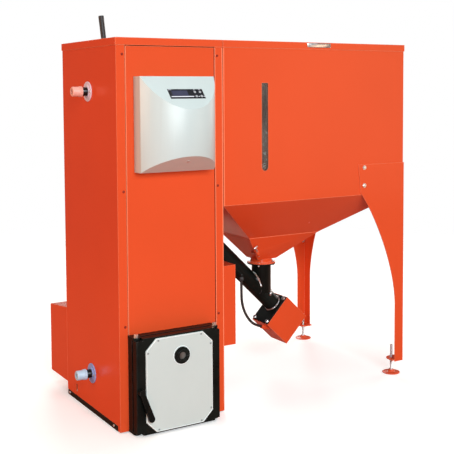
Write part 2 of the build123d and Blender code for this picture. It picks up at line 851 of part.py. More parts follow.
# Leaf: a thick slab stepped down under the lugs, bored for the pin, the sight port and the lever
with BuildPart() as door_leaf:
    block((door_left, door_right), (leaf_front_y, leaf_back_y),
          (door_low + leaf_foot_gap, door_high))
    fillet(door_leaf.edges().filter_by(Axis.Z).group_by(Axis.Y)[0], cover_round)
    for lug_x, step_end in ((hinge_x, right), (spare_x, left)):
        inner = lug_x - math.copysign(lug_radius + lug_gap, step_end)
        block(sorted((inner, step_end)), (leaf_front_y, leaf_back_y), (0, door_low + lug_height + lug_gap),
              Mode.SUBTRACT)
        block(sorted((inner, step_end)), (leaf_front_y, leaf_back_y),
              (door_high - lug_height - lug_gap, door_high),
              Mode.SUBTRACT)
    knuckle_low = door_low + lug_height + lug_gap
    knuckle_high = door_high - lug_height - lug_gap
    rod((hinge_x, pin_y, knuckle_low), (hinge_x, pin_y, knuckle_high), hinge_inset)
    rod((hinge_x, pin_y, knuckle_low), (hinge_x, pin_y, knuckle_high), pin_radius + running_gap,
        Mode.SUBTRACT)
    rod((sight_x, leaf_front_y, sight_z), (sight_x, leaf_back_y, sight_z), sight_bore, Mode.SUBTRACT)
    rod((lever_x, leaf_front_y, lever_z), (lever_x, leaf_back_y, lever_z), lever_shaft + running_gap,
        Mode.SUBTRACT)
save(door_leaf, "door_leaf")

# White plate on the leaf: an octagon with a folded rim and sloped corner facets
plate_mid_x = (plate_left + plate_right) / 2
plate_mid_z = (plate_low + plate_high) / 2
plate_corners = [(sx * (plate_right - plate_left) / 2, sz * (plate_high - plate_low) / 2)
                 for sx in (-1, 1) for sz in (-1, 1)]
with BuildPart() as door_plate:
    plate_plane = Plane(origin=(plate_mid_x, leaf_front_y, plate_mid_z), x_dir=(1, 0, 0), z_dir=(0, -1, 0))
    with BuildSketch(plate_plane) as plate_outline:
        Rectangle(plate_right - plate_left, plate_high - plate_low)
        chamfer(plate_outline.vertices(), plate_cut)
    extrude(amount=plate_thick)
    chamfer(door_plate.faces().sort_by(Axis.Y)[0].edges(), plate_rim)
    rod((sight_x, leaf_front_y - plate_thick, sight_z), (sight_x, leaf_front_y, sight_z), sight_bore,
        Mode.SUBTRACT)
    plate_face_y = leaf_front_y - plate_thick
    plate_screws = [(plate_mid_x + x - math.copysign(dx, x), plate_face_y,
                     plate_mid_z + z - math.copysign(dz, z))
                    for x, z in plate_corners
                    for dx, dz in ((plate_cut + plate_screw_inset, plate_screw_inset),
                                   (plate_screw_inset, plate_cut + plate_screw_inset))]
    for spot in plate_screws:
        screw_hole(spot, (0, -1, 0), screw_shank, plate_thick)
save(door_plate, "door_plate")

with BuildPart() as door_screws:
    for spot in plate_screws:
        screw(spot, (0, -1, 0), plate_screw_head, plate_screw_head / 2, screw_shank, plate_thick)
save(door_screws, "door_screws")

# Fireproof lining and the seal cord on the leaf's back, as one moulding
with BuildPart() as door_lining:
    block((opening_left + plug_margin, opening_right - plug_margin), (leaf_back_y, leaf_back_y + plug_depth),
          (opening_low + plug_margin, opening_high - plug_margin))
    rod((sight_x, leaf_back_y, sight_z), (sight_x, leaf_back_y + plug_depth, sight_z), sight_bore,
        Mode.SUBTRACT)
save(door_lining, "door_lining")

seal_thick = leaf_back - frame_front - seat_gap
with BuildPart() as door_gasket:
    with BuildSketch(Plane.XZ.offset(-leaf_back_y)):
        with Locations(((opening_left + opening_right) / 2, (opening_low + opening_high) / 2)):
            RectangleRounded(opening_right - opening_left + 2 * (gasket_margin + gasket_width),
                             opening_high - opening_low + 2 * (gasket_margin + gasket_width) - gasket_width,
                             gasket_width)
            RectangleRounded(opening_right - opening_left + 2 * gasket_margin,
                             opening_high - opening_low + 2 * gasket_margin - gasket_width, gasket_margin,
                             mode=Mode.SUBTRACT)
    extrude(amount=-seal_thick)
save(door_gasket, "door_gasket")

# Sight port: a stepped ring with a knob, and its glass
port_y = plate_face_y
with BuildPart() as sight_port:
    rod((sight_x, port_y, sight_z), (sight_x, port_y - sight_ring_thick / 2, sight_z), sight_radius)
    rod((sight_x, port_y, sight_z), (sight_x, port_y - sight_ring_thick, sight_z), sight_step)
    rod((sight_x, port_y, sight_z), (sight_x, port_y - sight_ring_thick, sight_z), sight_bore, Mode.SUBTRACT)
    rod((sight_x + sight_knob_x, port_y, sight_z - sight_knob_radius),
        (sight_x + sight_knob_x, port_y - sight_ring_thick - sight_knob_radius, sight_z - sight_knob_radius),
        sight_knob_radius)
save(sight_port, "sight_port")

with BuildPart() as sight_glass:
    rod((sight_x, port_y, sight_z), (sight_x, port_y - sight_glass_thick, sight_z), sight_bore - running_gap)
save(sight_glass, "sight_glass")

# Door lever: a boss on a shaft through the leaf, a flat tapered arm and a latch cam behind the leaf
arm_vector = Vector(lever_end_x - lever_x, 0, lever_end_z - lever_z)
arm_back_y = plate_face_y - moving_gap
with BuildPart() as door_handle:
    rod((lever_x, leaf_back_y + latch_thick + moving_gap, lever_z),
        (lever_x, arm_back_y - lever_stand_off, lever_z),
        lever_shaft)
    rod((lever_x, leaf_front_y - moving_gap, lever_z), (lever_x, arm_back_y - lever_stand_off, lever_z),
        lever_boss)
    arm_length = arm_vector.length - lever_tip_width / 2
    with BuildSketch(Plane(origin=(lever_x, arm_back_y - lever_stand_off + lever_thick, lever_z),
                           x_dir=arm_vector, z_dir=(0, -1, 0))):
        with BuildLine():
            Polyline((0, -lever_width / 2), (arm_length, -lever_tip_width / 2),
                     (arm_length, lever_tip_width / 2),
                     (0, lever_width / 2), close=True)
        make_face()
        with Locations((arm_length, 0)):
            Circle(lever_tip_width / 2)
    extrude(amount=lever_thick)
    block((lever_x - lever_boss, lever_x - lever_boss + latch_width),
          (leaf_back_y + moving_gap, leaf_back_y + moving_gap + latch_thick),
          (lever_z - lever_boss, lever_z + lever_boss))
save(door_handle, "door_handle")


def control_volume(inset, deep):
    """The control box's bowed body between its two slanted facets, drawn in by a wall."""
    side_y = front - control_side
    apex_y = front - control_side - control_sagitta
    half = control_half - inset
    with BuildPart() as volume:
        with BuildSketch(Plane.XY.offset(control_low + inset)):
            with BuildLine():
                Line((-half, side_y), (-half, face_y + deep))
                Line((-half, face_y + deep), (half, face_y + deep))
                Line((half, face_y + deep), (half, side_y))
                ThreePointArc((half, side_y), (0, apex_y + inset), (-half, side_y))
            make_face()
        extrude(amount=control_high - control_low - 2 * inset)
        upper_normal = Vector(0, -control_upper_slope, 1).normalized()
        for normal, height in ((upper_normal, control_high), (under_normal, control_low)):
            facet_origin = Vector(0, front - control_side, height) - normal * inset
            split(bisect_by=Plane(origin=facet_origin, x_dir=(1, 0, 0), z_dir=normal), keep=Keep.BOTTOM)
    return volume


# Control box with its window cut-out in the upper facet
facet_normal = Vector(0, -control_upper_slope, 1).normalized()
facet = Plane(origin=(0, front - control_side, control_high), x_dir=(1, 0, 0), z_dir=facet_normal)
control_outside = control_volume(0, 0)
control_inside = control_volume(control_wall, cut_overrun)
with BuildPart() as control_box:
    add(control_outside.part)
    add(control_inside.part, mode=Mode.SUBTRACT)
    with BuildSketch(facet):
        with Locations((window_centre[0], -window_centre[1])):
            Rectangle(*window_size)
    extrude(amount=-2 * control_wall, mode=Mode.SUBTRACT)
    screw_hole(under_screw, under_normal, screw_shank, control_wall)
save(control_box, "control_box")

# Bezel in the window, held by a flange behind the wall, with a recess and four button holes
button_spots = [(button_centre[0] + dx * button_pitch_x / 2, -button_centre[1] + dv * button_pitch_v / 2)
                for dv in (1, -1) for dx in (-1, 1)]
with BuildPart() as display_bezel:
    with BuildSketch(facet):
        with Locations((window_centre[0], -window_centre[1])):
            Rectangle(window_size[0] - 2 * screw_gap, window_size[1] - 2 * screw_gap)
    extrude(amount=-control_wall)
    with BuildSketch(facet.offset(-control_wall)):
        with Locations((window_centre[0], -window_centre[1])):
            Rectangle(window_size[0] + 2 * bezel_flange, window_size[1] + 2 * bezel_flange)
    extrude(amount=-bezel_flange_thick)
    with BuildSketch(facet):
        with Locations((lcd_centre[0], -lcd_centre[1])):
            Rectangle(*lcd_size)
    extrude(amount=-lcd_depth, mode=Mode.SUBTRACT)
    with BuildSketch(facet):
        with Locations(*button_spots):
            Circle(button_radius + button_gap)
    extrude(amount=-control_wall - bezel_flange_thick, mode=Mode.SUBTRACT)
save(display_bezel, "display_bezel")

with BuildPart() as lcd_glass:
    with BuildSketch(facet.offset(-lcd_depth)):
        with Locations((lcd_centre[0], -lcd_centre[1])):
            Rectangle(lcd_size[0] - 2 * screw_gap, lcd_size[1] - 2 * screw_gap)
    extrude(amount=lcd_depth - screw_gap)
save(lcd_glass, "lcd_glass")


def push_button(spot):
    """A round button whose flange keeps it behind the bezel."""
    bezel_back = control_wall + bezel_flange_thick
    with BuildPart() as button:
        with BuildSketch(facet.offset(button_rise)):
            with Locations(spot):
                Circle(button_radius)
        extrude(amount=-(button_rise + bezel_back + moving_gap))
        with BuildSketch(facet.offset(-bezel_back - moving_gap)):
            with Locations(spot):
                Circle(button_flange)
        extrude(amount=-button_flange_thick)
    return button


for number, spot in enumerate(button_spots, start=1):
    control_button = push_button(spot)
    save(control_button, f"button_{number}")

# Top cover: a shallow lid with a slot for the cleaning lever
with BuildPart() as top_cover:
    block((left - lip_overhang, right + moving_gap), (front - lip_overhang, rear + lip_overhang),
          (lip_low, casing_height))
    fillet(top_cover.faces().sort_by(Axis.Z)[-1].edges(), cover_round / 2)
    block((left - lip_overhang + casing_sheet, right + moving_gap - casing_sheet),
          (front - lip_overhang + casing_sheet, rear + lip_overhang - casing_sheet),
          (lip_low, casing_height - casing_sheet), Mode.SUBTRACT)
    with BuildSketch(Plane.XY.offset(casing_height)):
        with Locations((cover_slot_x, rod_y)):
            Rectangle(cover_slot_length, cover_slot_width)
    extrude(amount=-casing_sheet, mode=Mode.SUBTRACT)
save(top_cover, "top_cover")

# Cleaning rod with the carriage that lifts the scrapers
grip_base = casing_height - casing_sheet
grip_top = Vector(rod_x - grip_length * math.sin(math.radians(grip_lean)), rod_y,
                  casing_height + grip_length * math.cos(math.radians(grip_lean)))
with BuildPart() as cleaning_rod:
    rod((rod_x, rod_y, carriage_z), (rod_x, rod_y, grip_base), rod_radius)
    block((rod_x - 2 * rod_radius, tube_mid_x + tube_pitch_wide + carriage_margin),
          (rod_y - 2 * rod_radius, tube_mid_y + tube_pitch_deep / 2 + carriage_margin),
          (carriage_z, carriage_z + carriage_thick))
    with Locations((tube_mid_x, tube_mid_y, carriage_z)):
        with GridLocations(tube_pitch_wide, tube_pitch_deep, tube_columns, tube_rows):
            Cylinder(scraper_rod + running_gap, 4 * carriage_thick, mode=Mode.SUBTRACT)
save(cleaning_rod, "cleaning_rod")

with BuildPart() as cleaning_grip:
    rod((rod_x, rod_y, grip_base), (rod_x, rod_y, casing_height), grip_radius)
    rod((rod_x, rod_y, casing_height), tuple(grip_top), grip_radius)
    fillet(cleaning_grip.faces().sort_by(Axis.Z)[-1].edges(), cover_round)
save(cleaning_grip, "cleaning_grip")

# One scraper: a thin rod with slanted discs, trimmed to the tube
scraper_top = carriage_z + carriage_thick + scraper_thick
with BuildPart() as scraper:
    rod((tube_mid_x, tube_mid_y, scraper_top - scraper_count * scraper_pitch),
        (tube_mid_x, tube_mid_y, scraper_top),
        scraper_rod)
    for step in range(1, scraper_count + 1):
        disc_z = scraper_top - step * scraper_pitch + scraper_lift
        with Locations(Location((tube_mid_x, tube_mid_y, disc_z), (scraper_tilt, 0, 90 * step))):
            Cylinder(scraper_disc, scraper_thick)
    with Locations((tube_mid_x, tube_mid_y, carriage_z + carriage_thick)):
        Cylinder(2 * scraper_rod, scraper_thick, align=UP)
with BuildPart() as scrapers:
    with GridLocations(tube_pitch_wide, tube_pitch_deep, tube_columns, tube_rows):
        add(scraper.part)
save(scrapers, "scrapers")

# Hopper bin: four walls with a rim on top, the level slot and the fixed hinge knuckles
bin_top = lip_low - moving_gap
hinge_y = hopper_rear + knuckle_reach
hinge_z = bin_top + knuckle_rise
leg_corner_x = hopper_right + leg_sheet
with BuildPart() as hopper_body:
    block((hopper_left, hopper_right), (front, hopper_rear), (hopper_low, bin_top))
    block((hopper_left + hopper_sheet, hopper_right - hopper_sheet),
          (front + hopper_sheet, hopper_rear - hopper_sheet),
          (hopper_low, bin_top - hopper_sheet), Mode.SUBTRACT)
    block((hopper_left + hopper_rim, hopper_right - hopper_rim),
          (front + hopper_rim, hopper_rear - hopper_rim),
          (hopper_low, bin_top), Mode.SUBTRACT)
    slot_width = slot_right - slot_left
    block((slot_left, slot_right), (front, front + hopper_sheet), (slot_low + slot_width / 2, slot_high),
          Mode.SUBTRACT)
    rod(((slot_left + slot_right) / 2, front, slot_low + slot_width / 2),
        ((slot_left + slot_right) / 2, front + hopper_sheet, slot_low + slot_width / 2), slot_width / 2,
        Mode.SUBTRACT)
    for wall_y, outward in ((front, -1), (hopper_rear, 1)):
        for height in leg_bolt_heights:
            screw_hole((leg_corner_x - leg_bolt_reach, wall_y, height), (0, outward, 0), leg_bolt_shank,
                       leg_sheet)
    for knuckle_x in hinge_xs:
        for middle in (knuckle_x - knuckle_length, knuckle_x + knuckle_length):
            span = (middle - knuckle_length / 2, middle + knuckle_length / 2)
            block(span, (hopper_rear, hinge_y), (bin_top - knuckle_tail, bin_top - knuckle_radius))
            block(span, (hinge_y - knuckle_radius / 2, hinge_y + knuckle_radius),
                  (bin_top - knuckle_tail, hinge_z))
            rod((span[0], hinge_y, hinge_z), (span[1], hinge_y, hinge_z), knuckle_radius)
        hinge_half = 3 * knuckle_length / 2
        rod((knuckle_x - hinge_half, hinge_y, hinge_z), (knuckle_x + hinge_half, hinge_y, hinge_z),
            knuckle_pin)
save(hopper_body, "hopper_body")

with BuildPart() as level_window:
    block((slot_left - window_margin, slot_right + window_margin),
          (front + hopper_sheet, front + hopper_sheet + window_thick),
          (slot_low - window_margin, slot_high + window_margin))
save(level_window, "level_window")

# Hopper lid with its own knuckles between the fixed ones
with BuildPart() as hopper_lid:
    block((right + lip_overhang / 2, hopper_right + lip_overhang),
          (front - lip_overhang, hopper_rear + lip_overhang),
          (lip_low, casing_height))
    fillet(hopper_lid.faces().sort_by(Axis.Z)[-1].edges(), cover_round / 2)
    block((right + lip_overhang / 2 + casing_sheet, hopper_right + lip_overhang - casing_sheet),
          (front - lip_overhang + casing_sheet, hopper_rear + lip_overhang - casing_sheet),
          (lip_low, casing_height - casing_sheet), Mode.SUBTRACT)
    for knuckle_x in hinge_xs:
        span = (knuckle_x - knuckle_length / 2 + moving_gap, knuckle_x + knuckle_length / 2 - moving_gap)
        block(span, (hopper_rear + lip_overhang - casing_sheet, hinge_y), (hinge_z, hinge_z + knuckle_radius))
        rod((span[0], hinge_y, hinge_z), (span[1], hinge_y, hinge_z), knuckle_radius)
        rod((span[0], hinge_y, hinge_z), (span[1], hinge_y, hinge_z), knuckle_pin + running_gap,
            Mode.SUBTRACT)
save(hopper_lid, "hopper_lid")

# Bright lens-shaped handle on the lid's front lip
with BuildPart() as lid_handle:
    lip_y = front - lip_overhang
    handle_mid = (lid_handle_left + lid_handle_right) / 2
    with BuildSketch(Plane.XY.offset(lid_handle_low)):
        with BuildLine():
            ThreePointArc((lid_handle_left, lip_y), (handle_mid, lip_y - lid_handle_reach),
                          (lid_handle_right, lip_y))
            Line((lid_handle_right, lip_y), (lid_handle_left, lip_y))
        make_face()
    extrude(amount=lid_handle_high - lid_handle_low)
save(lid_handle, "lid_handle")


def funnel_volume(inset, drop):
    """The two-stage funnel's outer or inner volume, from the bin down to the round neck."""
    with BuildPart() as volume:
        for top_z, bottom_z, top_spans, bottom_spans in funnel_stages:
            with BuildSketch(Plane.XY.offset(top_z)):
                span_rectangle(top_spans, inset)
            with BuildSketch(Plane.XY.offset(bottom_z)):
                span_rectangle(bottom_spans, inset)
            loft(ruled=True)
        with Locations((neck_x, hopper_mid_y, flange_z - drop)):
            Cylinder(neck_radius - inset, neck_top - flange_z + 2 * drop, align=UP)
    return volume


def span_rectangle(spans, inset):
    """A rectangle between two spans, drawn in by the wall."""
    (x0, x1), (y0, y1) = spans
    with Locations(((x0 + x1) / 2, (y0 + y1) / 2)):
        Rectangle(x1 - x0 - 2 * inset, y1 - y0 - 2 * inset)


# Funnel: a shallow stage, a steeper stage, the neck and its flange
fold_half_y = hopper_mid_y - fold_front
bin_spans = ((hopper_left, hopper_right), (front, hopper_rear))
fold_spans = ((fold_left, fold_right), (fold_front, hopper_mid_y + fold_half_y))
neck_spans = ((neck_x - neck_radius, neck_x + neck_radius),
              (hopper_mid_y - neck_radius, hopper_mid_y + neck_radius))
funnel_stages = ((hopper_low, fold_z, bin_spans, fold_spans), (fold_z, neck_top, fold_spans, neck_spans))
bolt_angles = [flange_bolt_turn + step * 360 / flange_bolts for step in range(flange_bolts)]
bolt_spots = [(neck_x + flange_bolt_circle * math.cos(math.radians(angle)),
               hopper_mid_y + flange_bolt_circle * math.sin(math.radians(angle))) for angle in bolt_angles]
thumb_start = Vector(*thumb_foot)
thumb_end = Vector(*thumb_point)
thumb_dir = (thumb_end - thumb_start).normalized()
sleeve_low = thumb_start + thumb_dir * thumb_sleeve
sleeve_high = sleeve_low + thumb_dir * thumb_sleeve_length
sleeve_mid = (sleeve_low + sleeve_high) / 2
funnel_outside = funnel_volume(0, 0)
funnel_inside = funnel_volume(neck_wall, cut_overrun)
with BuildPart() as hopper_funnel:
    add(funnel_outside.part)
    rod((neck_x, hopper_mid_y, flange_z), (neck_x, hopper_mid_y, flange_z + flange_thick), flange_radius)
    rod(tuple(sleeve_low), tuple(sleeve_high), thumb_sleeve)
    rod(tuple(sleeve_mid), tuple(sleeve_mid + Vector(0, thumb_arm, 0)), thumb_arm_radius)
    add(funnel_inside.part, mode=Mode.SUBTRACT)
    rod(tuple(thumb_start), tuple(thumb_end), thumb_radius + running_gap, Mode.SUBTRACT)
    for bolt_x, bolt_y in bolt_spots:
        screw_hole((bolt_x, bolt_y, flange_z + flange_thick), (0, 0, 1), flange_bolt_shank, flange_thick)
save(hopper_funnel, "hopper_funnel")


def leg_flange(plane, thickness):
    """One flange of a leg, square to the plane, with the leg's corner at the plane's origin."""
    curve_start = (leg_shoulder - leg_top_reach, leg_curve_top)
    with BuildSketch(plane) as flange_outline:
        with BuildLine():
            Polyline((-leg_foot_reach, leg_curve_end), (-leg_foot_reach, leg_foot_z), (0, leg_foot_z),
                     (0, leg_flange_top), (-leg_top_reach, leg_flange_top), curve_start)
            Bezier(curve_start, leg_pull_top, leg_pull_foot, (-leg_foot_reach, leg_curve_end))
        make_face()
    extrude(flange_outline.sketch, amount=thickness)


def hopper_leg(corner_y, inward):
    """A leg folded round the hopper's right corner, with its foot plate and the rod's hole."""
    corner = (leg_corner_x, corner_y, 0)
    with BuildPart() as leg:
        leg_flange(Plane(origin=corner, x_dir=(1, 0, 0), z_dir=(0, -1, 0)), -inward * leg_sheet)
        leg_flange(Plane(origin=corner, x_dir=(0, -inward, 0), z_dir=(-inward, 0, 0)), inward * leg_sheet)
        with BuildSketch(Plane.XY.offset(foot_plate_z)) as foot_outline:
            with Locations((leg_corner_x - foot_plate_size / 2, corner_y + inward * foot_plate_size / 2)):
                Rectangle(foot_plate_size, foot_plate_size)
            free_corner = foot_outline.vertices().sort_by(Axis((0, 0, 0), (-1, inward, 0)))[-1]
            fillet(free_corner, foot_plate_size / 2)
        extrude(amount=foot_plate_thick)
        rod((foot_x, corner_y + inward * foot_setback, foot_plate_z),
            (foot_x, corner_y + inward * foot_setback, foot_plate_z + foot_plate_thick),
            foot_rod + running_gap, Mode.SUBTRACT)
        for height in leg_bolt_heights:
            screw_hole((leg_corner_x - leg_bolt_reach, corner_y, height), (0, -inward, 0), leg_bolt_shank,
                       leg_bolt_length)
    return leg


# Legs: two angle legs on the hopper's right corners, bolted through its front and back
foot_setback = leg_sheet + foot_inset
foot_x = leg_corner_x - foot_setback
front_corner_y = front - leg_sheet
rear_corner_y = hopper_rear + leg_sheet
front_leg = hopper_leg(front_corner_y, 1)
save(front_leg, "leg_front")
rear_leg = hopper_leg(rear_corner_y, -1)
save(rear_leg, "leg_rear")


def levelling_foot(y):
    """A round pad with a boss, its threaded rod and the lock nut under the foot plate."""
    nut_top = foot_plate_z - moving_gap
    with BuildPart() as foot:
        with Locations((foot_x, y, 0)):
            Cylinder(foot_pad, foot_pad_thick, align=UP)
            chamfer(foot.faces().sort_by(Axis.Z)[-1].edges(), foot_pad_thick / 2)
            Cylinder(foot_boss, foot_pad_thick + foot_boss_height, align=UP)
            Cylinder(foot_rod, foot_rod_top, align=UP)
        with BuildSketch(Plane.XY.offset(nut_top)):
            with Locations((foot_x, y)):
                RegularPolygon(foot_nut, hex_side_count)
        extrude(amount=-foot_nut_height)
    return foot


front_foot = levelling_foot(front_corner_y + foot_setback)
save(front_foot, "foot_front")
rear_foot = levelling_foot(rear_corner_y - foot_setback)
save(rear_foot, "foot_rear")


def auger_plane(along, across=0.0):
    """A plane square to the auger's axis: its x axis runs to the back and its z axis down the tube."""
    return Plane(origin=auger_point(along, across), x_dir=(0, 1, 0), z_dir=auger_dir)


# Auger tube: the slanted tube with its head cap, the square motor plate, the openings towards the
# chute and the down tube, and the gland underneath, where the motor cable leaves it
down_top = Vector(neck_x, hopper_mid_y, flange_z)
cable_start = Vector(cable_route[0][0], cable_y, cable_route[0][1])
with BuildPart() as auger_tube:
    rod(tuple(cable_start), tuple(cable_start + Vector(0, 0, gland_length)), gland_radius)
    rod(tuple(auger_point(-auger_head)), tuple(auger_point(auger_foot)), auger_radius)
    with BuildSketch(auger_plane(auger_foot, motor_cover_shift)):
        Rectangle(motor_flange[1], motor_flange[0])
    extrude(amount=motor_flange_thick)
    rod(tuple(auger_point(-auger_head + auger_cap)), tuple(auger_point(auger_foot)), auger_bore,
        Mode.SUBTRACT)
    rod(tuple(joint), tuple(down_top), down_bore, Mode.SUBTRACT)
    rod(tuple(chute_top), tuple(chute_foot), chute_bore, Mode.SUBTRACT)
    rod(tuple(auger_point(-auger_head)), tuple(auger_point(auger_foot + motor_flange_thick)),
        screw_journal + running_gap, Mode.SUBTRACT)
save(auger_tube, "auger_tube")

# Down tube from the neck, saddled over the auger tube, with the lower flange
with BuildPart() as down_tube:
    rod(tuple(joint), tuple(down_top), down_radius)
    rod((neck_x, hopper_mid_y, flange_z - flange_thick), (neck_x, hopper_mid_y, flange_z), flange_radius)
    rod(tuple(joint), tuple(down_top), down_bore, Mode.SUBTRACT)
    rod(tuple(auger_point(-auger_head)), tuple(auger_point(auger_foot)), auger_radius, Mode.SUBTRACT)
    for bolt_x, bolt_y in bolt_spots:
        screw_hole((bolt_x, bolt_y, flange_z), (0, 0, 1), flange_bolt_shank, flange_thick)
save(down_tube, "down_tube")

# Auger screw: one continuous flight on a core, with a journal at each end
flight_start = -auger_head + auger_cap + 2 * screw_blade
flight_end = auger_foot - screw_blade
flight_turns = int((flight_end - flight_start) / screw_pitch)
flight_length = flight_turns * screw_pitch
with BuildPart() as auger_screw:
    with BuildLine():
        flight_line = Helix(screw_pitch, flight_length, screw_core - screw_blade / 2,
                            center=auger_point(flight_start), direction=auger_dir)
    flight_root = flight_line @ 0
    with BuildSketch(Plane(origin=flight_root, x_dir=flight_root - auger_point(flight_start),
                           z_dir=flight_line % 0)):
        Rectangle(screw_radius - screw_core + screw_blade / 2, screw_blade, align=(Align.MIN, Align.CENTER))
    sweep(is_frenet=True)
    rod(tuple(auger_point(flight_start - screw_blade)), tuple(auger_point(flight_end)), screw_core)
    rod(tuple(auger_point(-auger_head)), tuple(auger_point(auger_foot + screw_tail)), screw_journal)
save(auger_screw, "auger_screw")

# Geared motor on the plate, inside its cover
gear_start = auger_foot + motor_flange_thick
with BuildPart() as gearmotor:
    with BuildSketch(auger_plane(gear_start)):
        RectangleRounded(gearbox_size, gearbox_size, gearbox_corner)
    extrude(amount=gearbox_length)
    rod(tuple(auger_point(gear_start + gearbox_length)),
        tuple(auger_point(gear_start + gearbox_length + motor_length)),
        motor_radius)
    rod(tuple(auger_point(gear_start)), tuple(auger_point(auger_foot + screw_tail + moving_gap)),
        screw_journal + running_gap, Mode.SUBTRACT)
save(gearmotor, "gearmotor")

# Motor cover: a box over the motor, open towards the plate, with the cable's gland on its lower side
cable_end = Vector(cable_route[-1][0], cable_y, cable_route[-1][1])
cable_last = Vector(cable_route[-2][0], cable_y, cable_route[-2][1])
gland_dir = (cable_end - cable_last).normalized()
with BuildPart() as motor_cover:
    rod(tuple(cable_end), tuple(cable_end + gland_dir * 2 * gland_length), gland_radius)
    with BuildSketch(auger_plane(gear_start, motor_cover_shift)):
        Rectangle(motor_cover_width, motor_cover_across)
    extrude(amount=motor_cover_length)
    with BuildSketch(auger_plane(gear_start, motor_cover_shift)):
        Rectangle(motor_cover_width - 2 * motor_cover_sheet, motor_cover_across - 2 * motor_cover_sheet)
    extrude(amount=motor_cover_length - motor_cover_sheet, mode=Mode.SUBTRACT)
save(motor_cover, "motor_cover")

# Hopper bolts: at the legs, through the pair of flanges under the neck and on the motor plate
with BuildPart() as hopper_bolts:
    for corner_y, outward in ((front_corner_y, -1), (rear_corner_y, 1)):
        for height in leg_bolt_heights:
            screw((leg_corner_x - leg_bolt_reach, corner_y, height), (0, outward, 0), leg_bolt_head,
                  leg_bolt_head_height, leg_bolt_shank, leg_bolt_length)
    for bolt_x, bolt_y in bolt_spots:
        screw((bolt_x, bolt_y, flange_z + flange_thick), (0, 0, 1), flange_bolt_head, flange_bolt_height,
              flange_bolt_shank, 2 * flange_thick)
        with Locations((bolt_x, bolt_y, flange_z - flange_thick)):
            Cylinder(flange_bolt_head, flange_bolt_height, align=DOWN)
    for side_y in (-1, 1):
        for side_n in (-1, 1):
            bolt_across = motor_cover_shift + side_n * (motor_flange[0] / 2 - plate_bolt_inset)
            bolt_aside = Vector(0, side_y * (motor_flange[1] / 2 - plate_bolt_inset), 0)
            bolt_seat = auger_point(auger_foot, bolt_across) + bolt_aside
            with Locations(Plane(origin=bolt_seat, z_dir=-auger_dir)):
                Cylinder(plate_bolt_head, plate_bolt_height, align=UP)
save(hopper_bolts, "hopper_bolts")

# Motor cable: straight runs joined by arcs as large as the runs allow
route = [Vector(x, cable_y, z) for x, z in cable_route]
runs = [b - a for a, b in zip(route, route[1:])]
cable_radii = [0.45 * min(a.length, b.length) / math.tan(math.radians(a.get_angle(b)) / 2)
               for a, b in zip(runs, runs[1:])]
print("cable radii", [round(radius) for radius in cable_radii])
with BuildPart() as motor_cable:
    with BuildLine() as cable_path:
        FilletPolyline(*route, radius=cable_radii)
    with BuildSketch(Plane(origin=route[0], z_dir=runs[0])):
        Circle(cable_radius)
    sweep(path=cable_path.wire())
print("cable length", round(cable_path.wire().length, 1), "volume ratio",
      round(motor_cable.part.volume / (math.pi * cable_radius ** 2 * cable_path.wire().length), 5))
save(motor_cable, "motor_cable")

# Thumb screw beside the neck, turning in a sleeve
thumb_cross = Vector(0, 1, 0).cross(thumb_dir).normalized() * (thumb_head_length / 2)
with BuildPart() as thumb_screw:
    rod(tuple(thumb_start), tuple(thumb_end), thumb_radius)
    rod(tuple(thumb_end - thumb_cross), tuple(thumb_end + thumb_cross), thumb_head_radius)
save(thumb_screw, "thumb_screw")
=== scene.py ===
import json
import math
import random

import bmesh
import bpy
from mathutils import Matrix, Vector


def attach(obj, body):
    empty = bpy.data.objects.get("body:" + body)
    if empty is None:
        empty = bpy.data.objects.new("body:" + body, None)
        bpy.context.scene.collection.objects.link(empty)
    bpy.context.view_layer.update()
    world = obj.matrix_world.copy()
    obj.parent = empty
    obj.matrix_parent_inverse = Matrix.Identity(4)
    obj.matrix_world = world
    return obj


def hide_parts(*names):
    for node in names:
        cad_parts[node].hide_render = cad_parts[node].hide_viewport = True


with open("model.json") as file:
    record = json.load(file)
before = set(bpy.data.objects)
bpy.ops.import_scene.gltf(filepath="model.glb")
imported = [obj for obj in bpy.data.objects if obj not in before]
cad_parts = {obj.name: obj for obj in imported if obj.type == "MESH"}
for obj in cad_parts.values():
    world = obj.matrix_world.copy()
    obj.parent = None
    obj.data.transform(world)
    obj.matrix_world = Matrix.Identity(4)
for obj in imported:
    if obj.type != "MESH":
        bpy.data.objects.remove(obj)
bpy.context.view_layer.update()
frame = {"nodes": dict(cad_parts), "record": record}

# A pellet boiler in a studio: the sheet-clad boiler, its hopper on two legs and the auger between
# them. Lengths are in metres; +X points to the hopper's side, +Y to the back and +Z up.

scene = bpy.context.scene
random.seed(7)

# Directions that screws, bolts and louvres look in
LEFT, RIGHT = (-1, 0, 0), (1, 0, 0)
FRONT, BACK = (0, -1, 0), (0, 1, 0)
DOWN, UP = (0, 0, -1), (0, 0, 1)

# Faces and middles that several pieces are set on
CASING_FRONT, CASING_BACK = -0.272, 0.272
REAR_BOX_BACK = 0.471
BURNER_COVER_FACE = 0.374
DOOR_PLATE_FACE = -0.351
DOOR_PLATE_MIDDLE = (-0.0135, 0.189)
DOWN_TUBE_MIDDLE = (0.658, 0.106)
DOWN_TUBE_RADIUS, AUGER_TUBE_RADIUS = 0.04445, 0.03805

# Colours that several finishes share
# The paler orange of the edges is partly rubbed wear and partly a painted highlight
ORANGE, ORANGE_EDGE_WEAR_AND_HIGHLIGHT = (0.71, 0.080, 0.0215), (0.95, 0.32, 0.17)
DUST = (0.55, 0.50, 0.46)
RUBBED_STEEL, STAIN, RUST = (0.10, 0.10, 0.105), (0.16, 0.10, 0.07), (0.09, 0.035, 0.015)
HANDLED_RUBBER = (0.12, 0.11, 0.10)


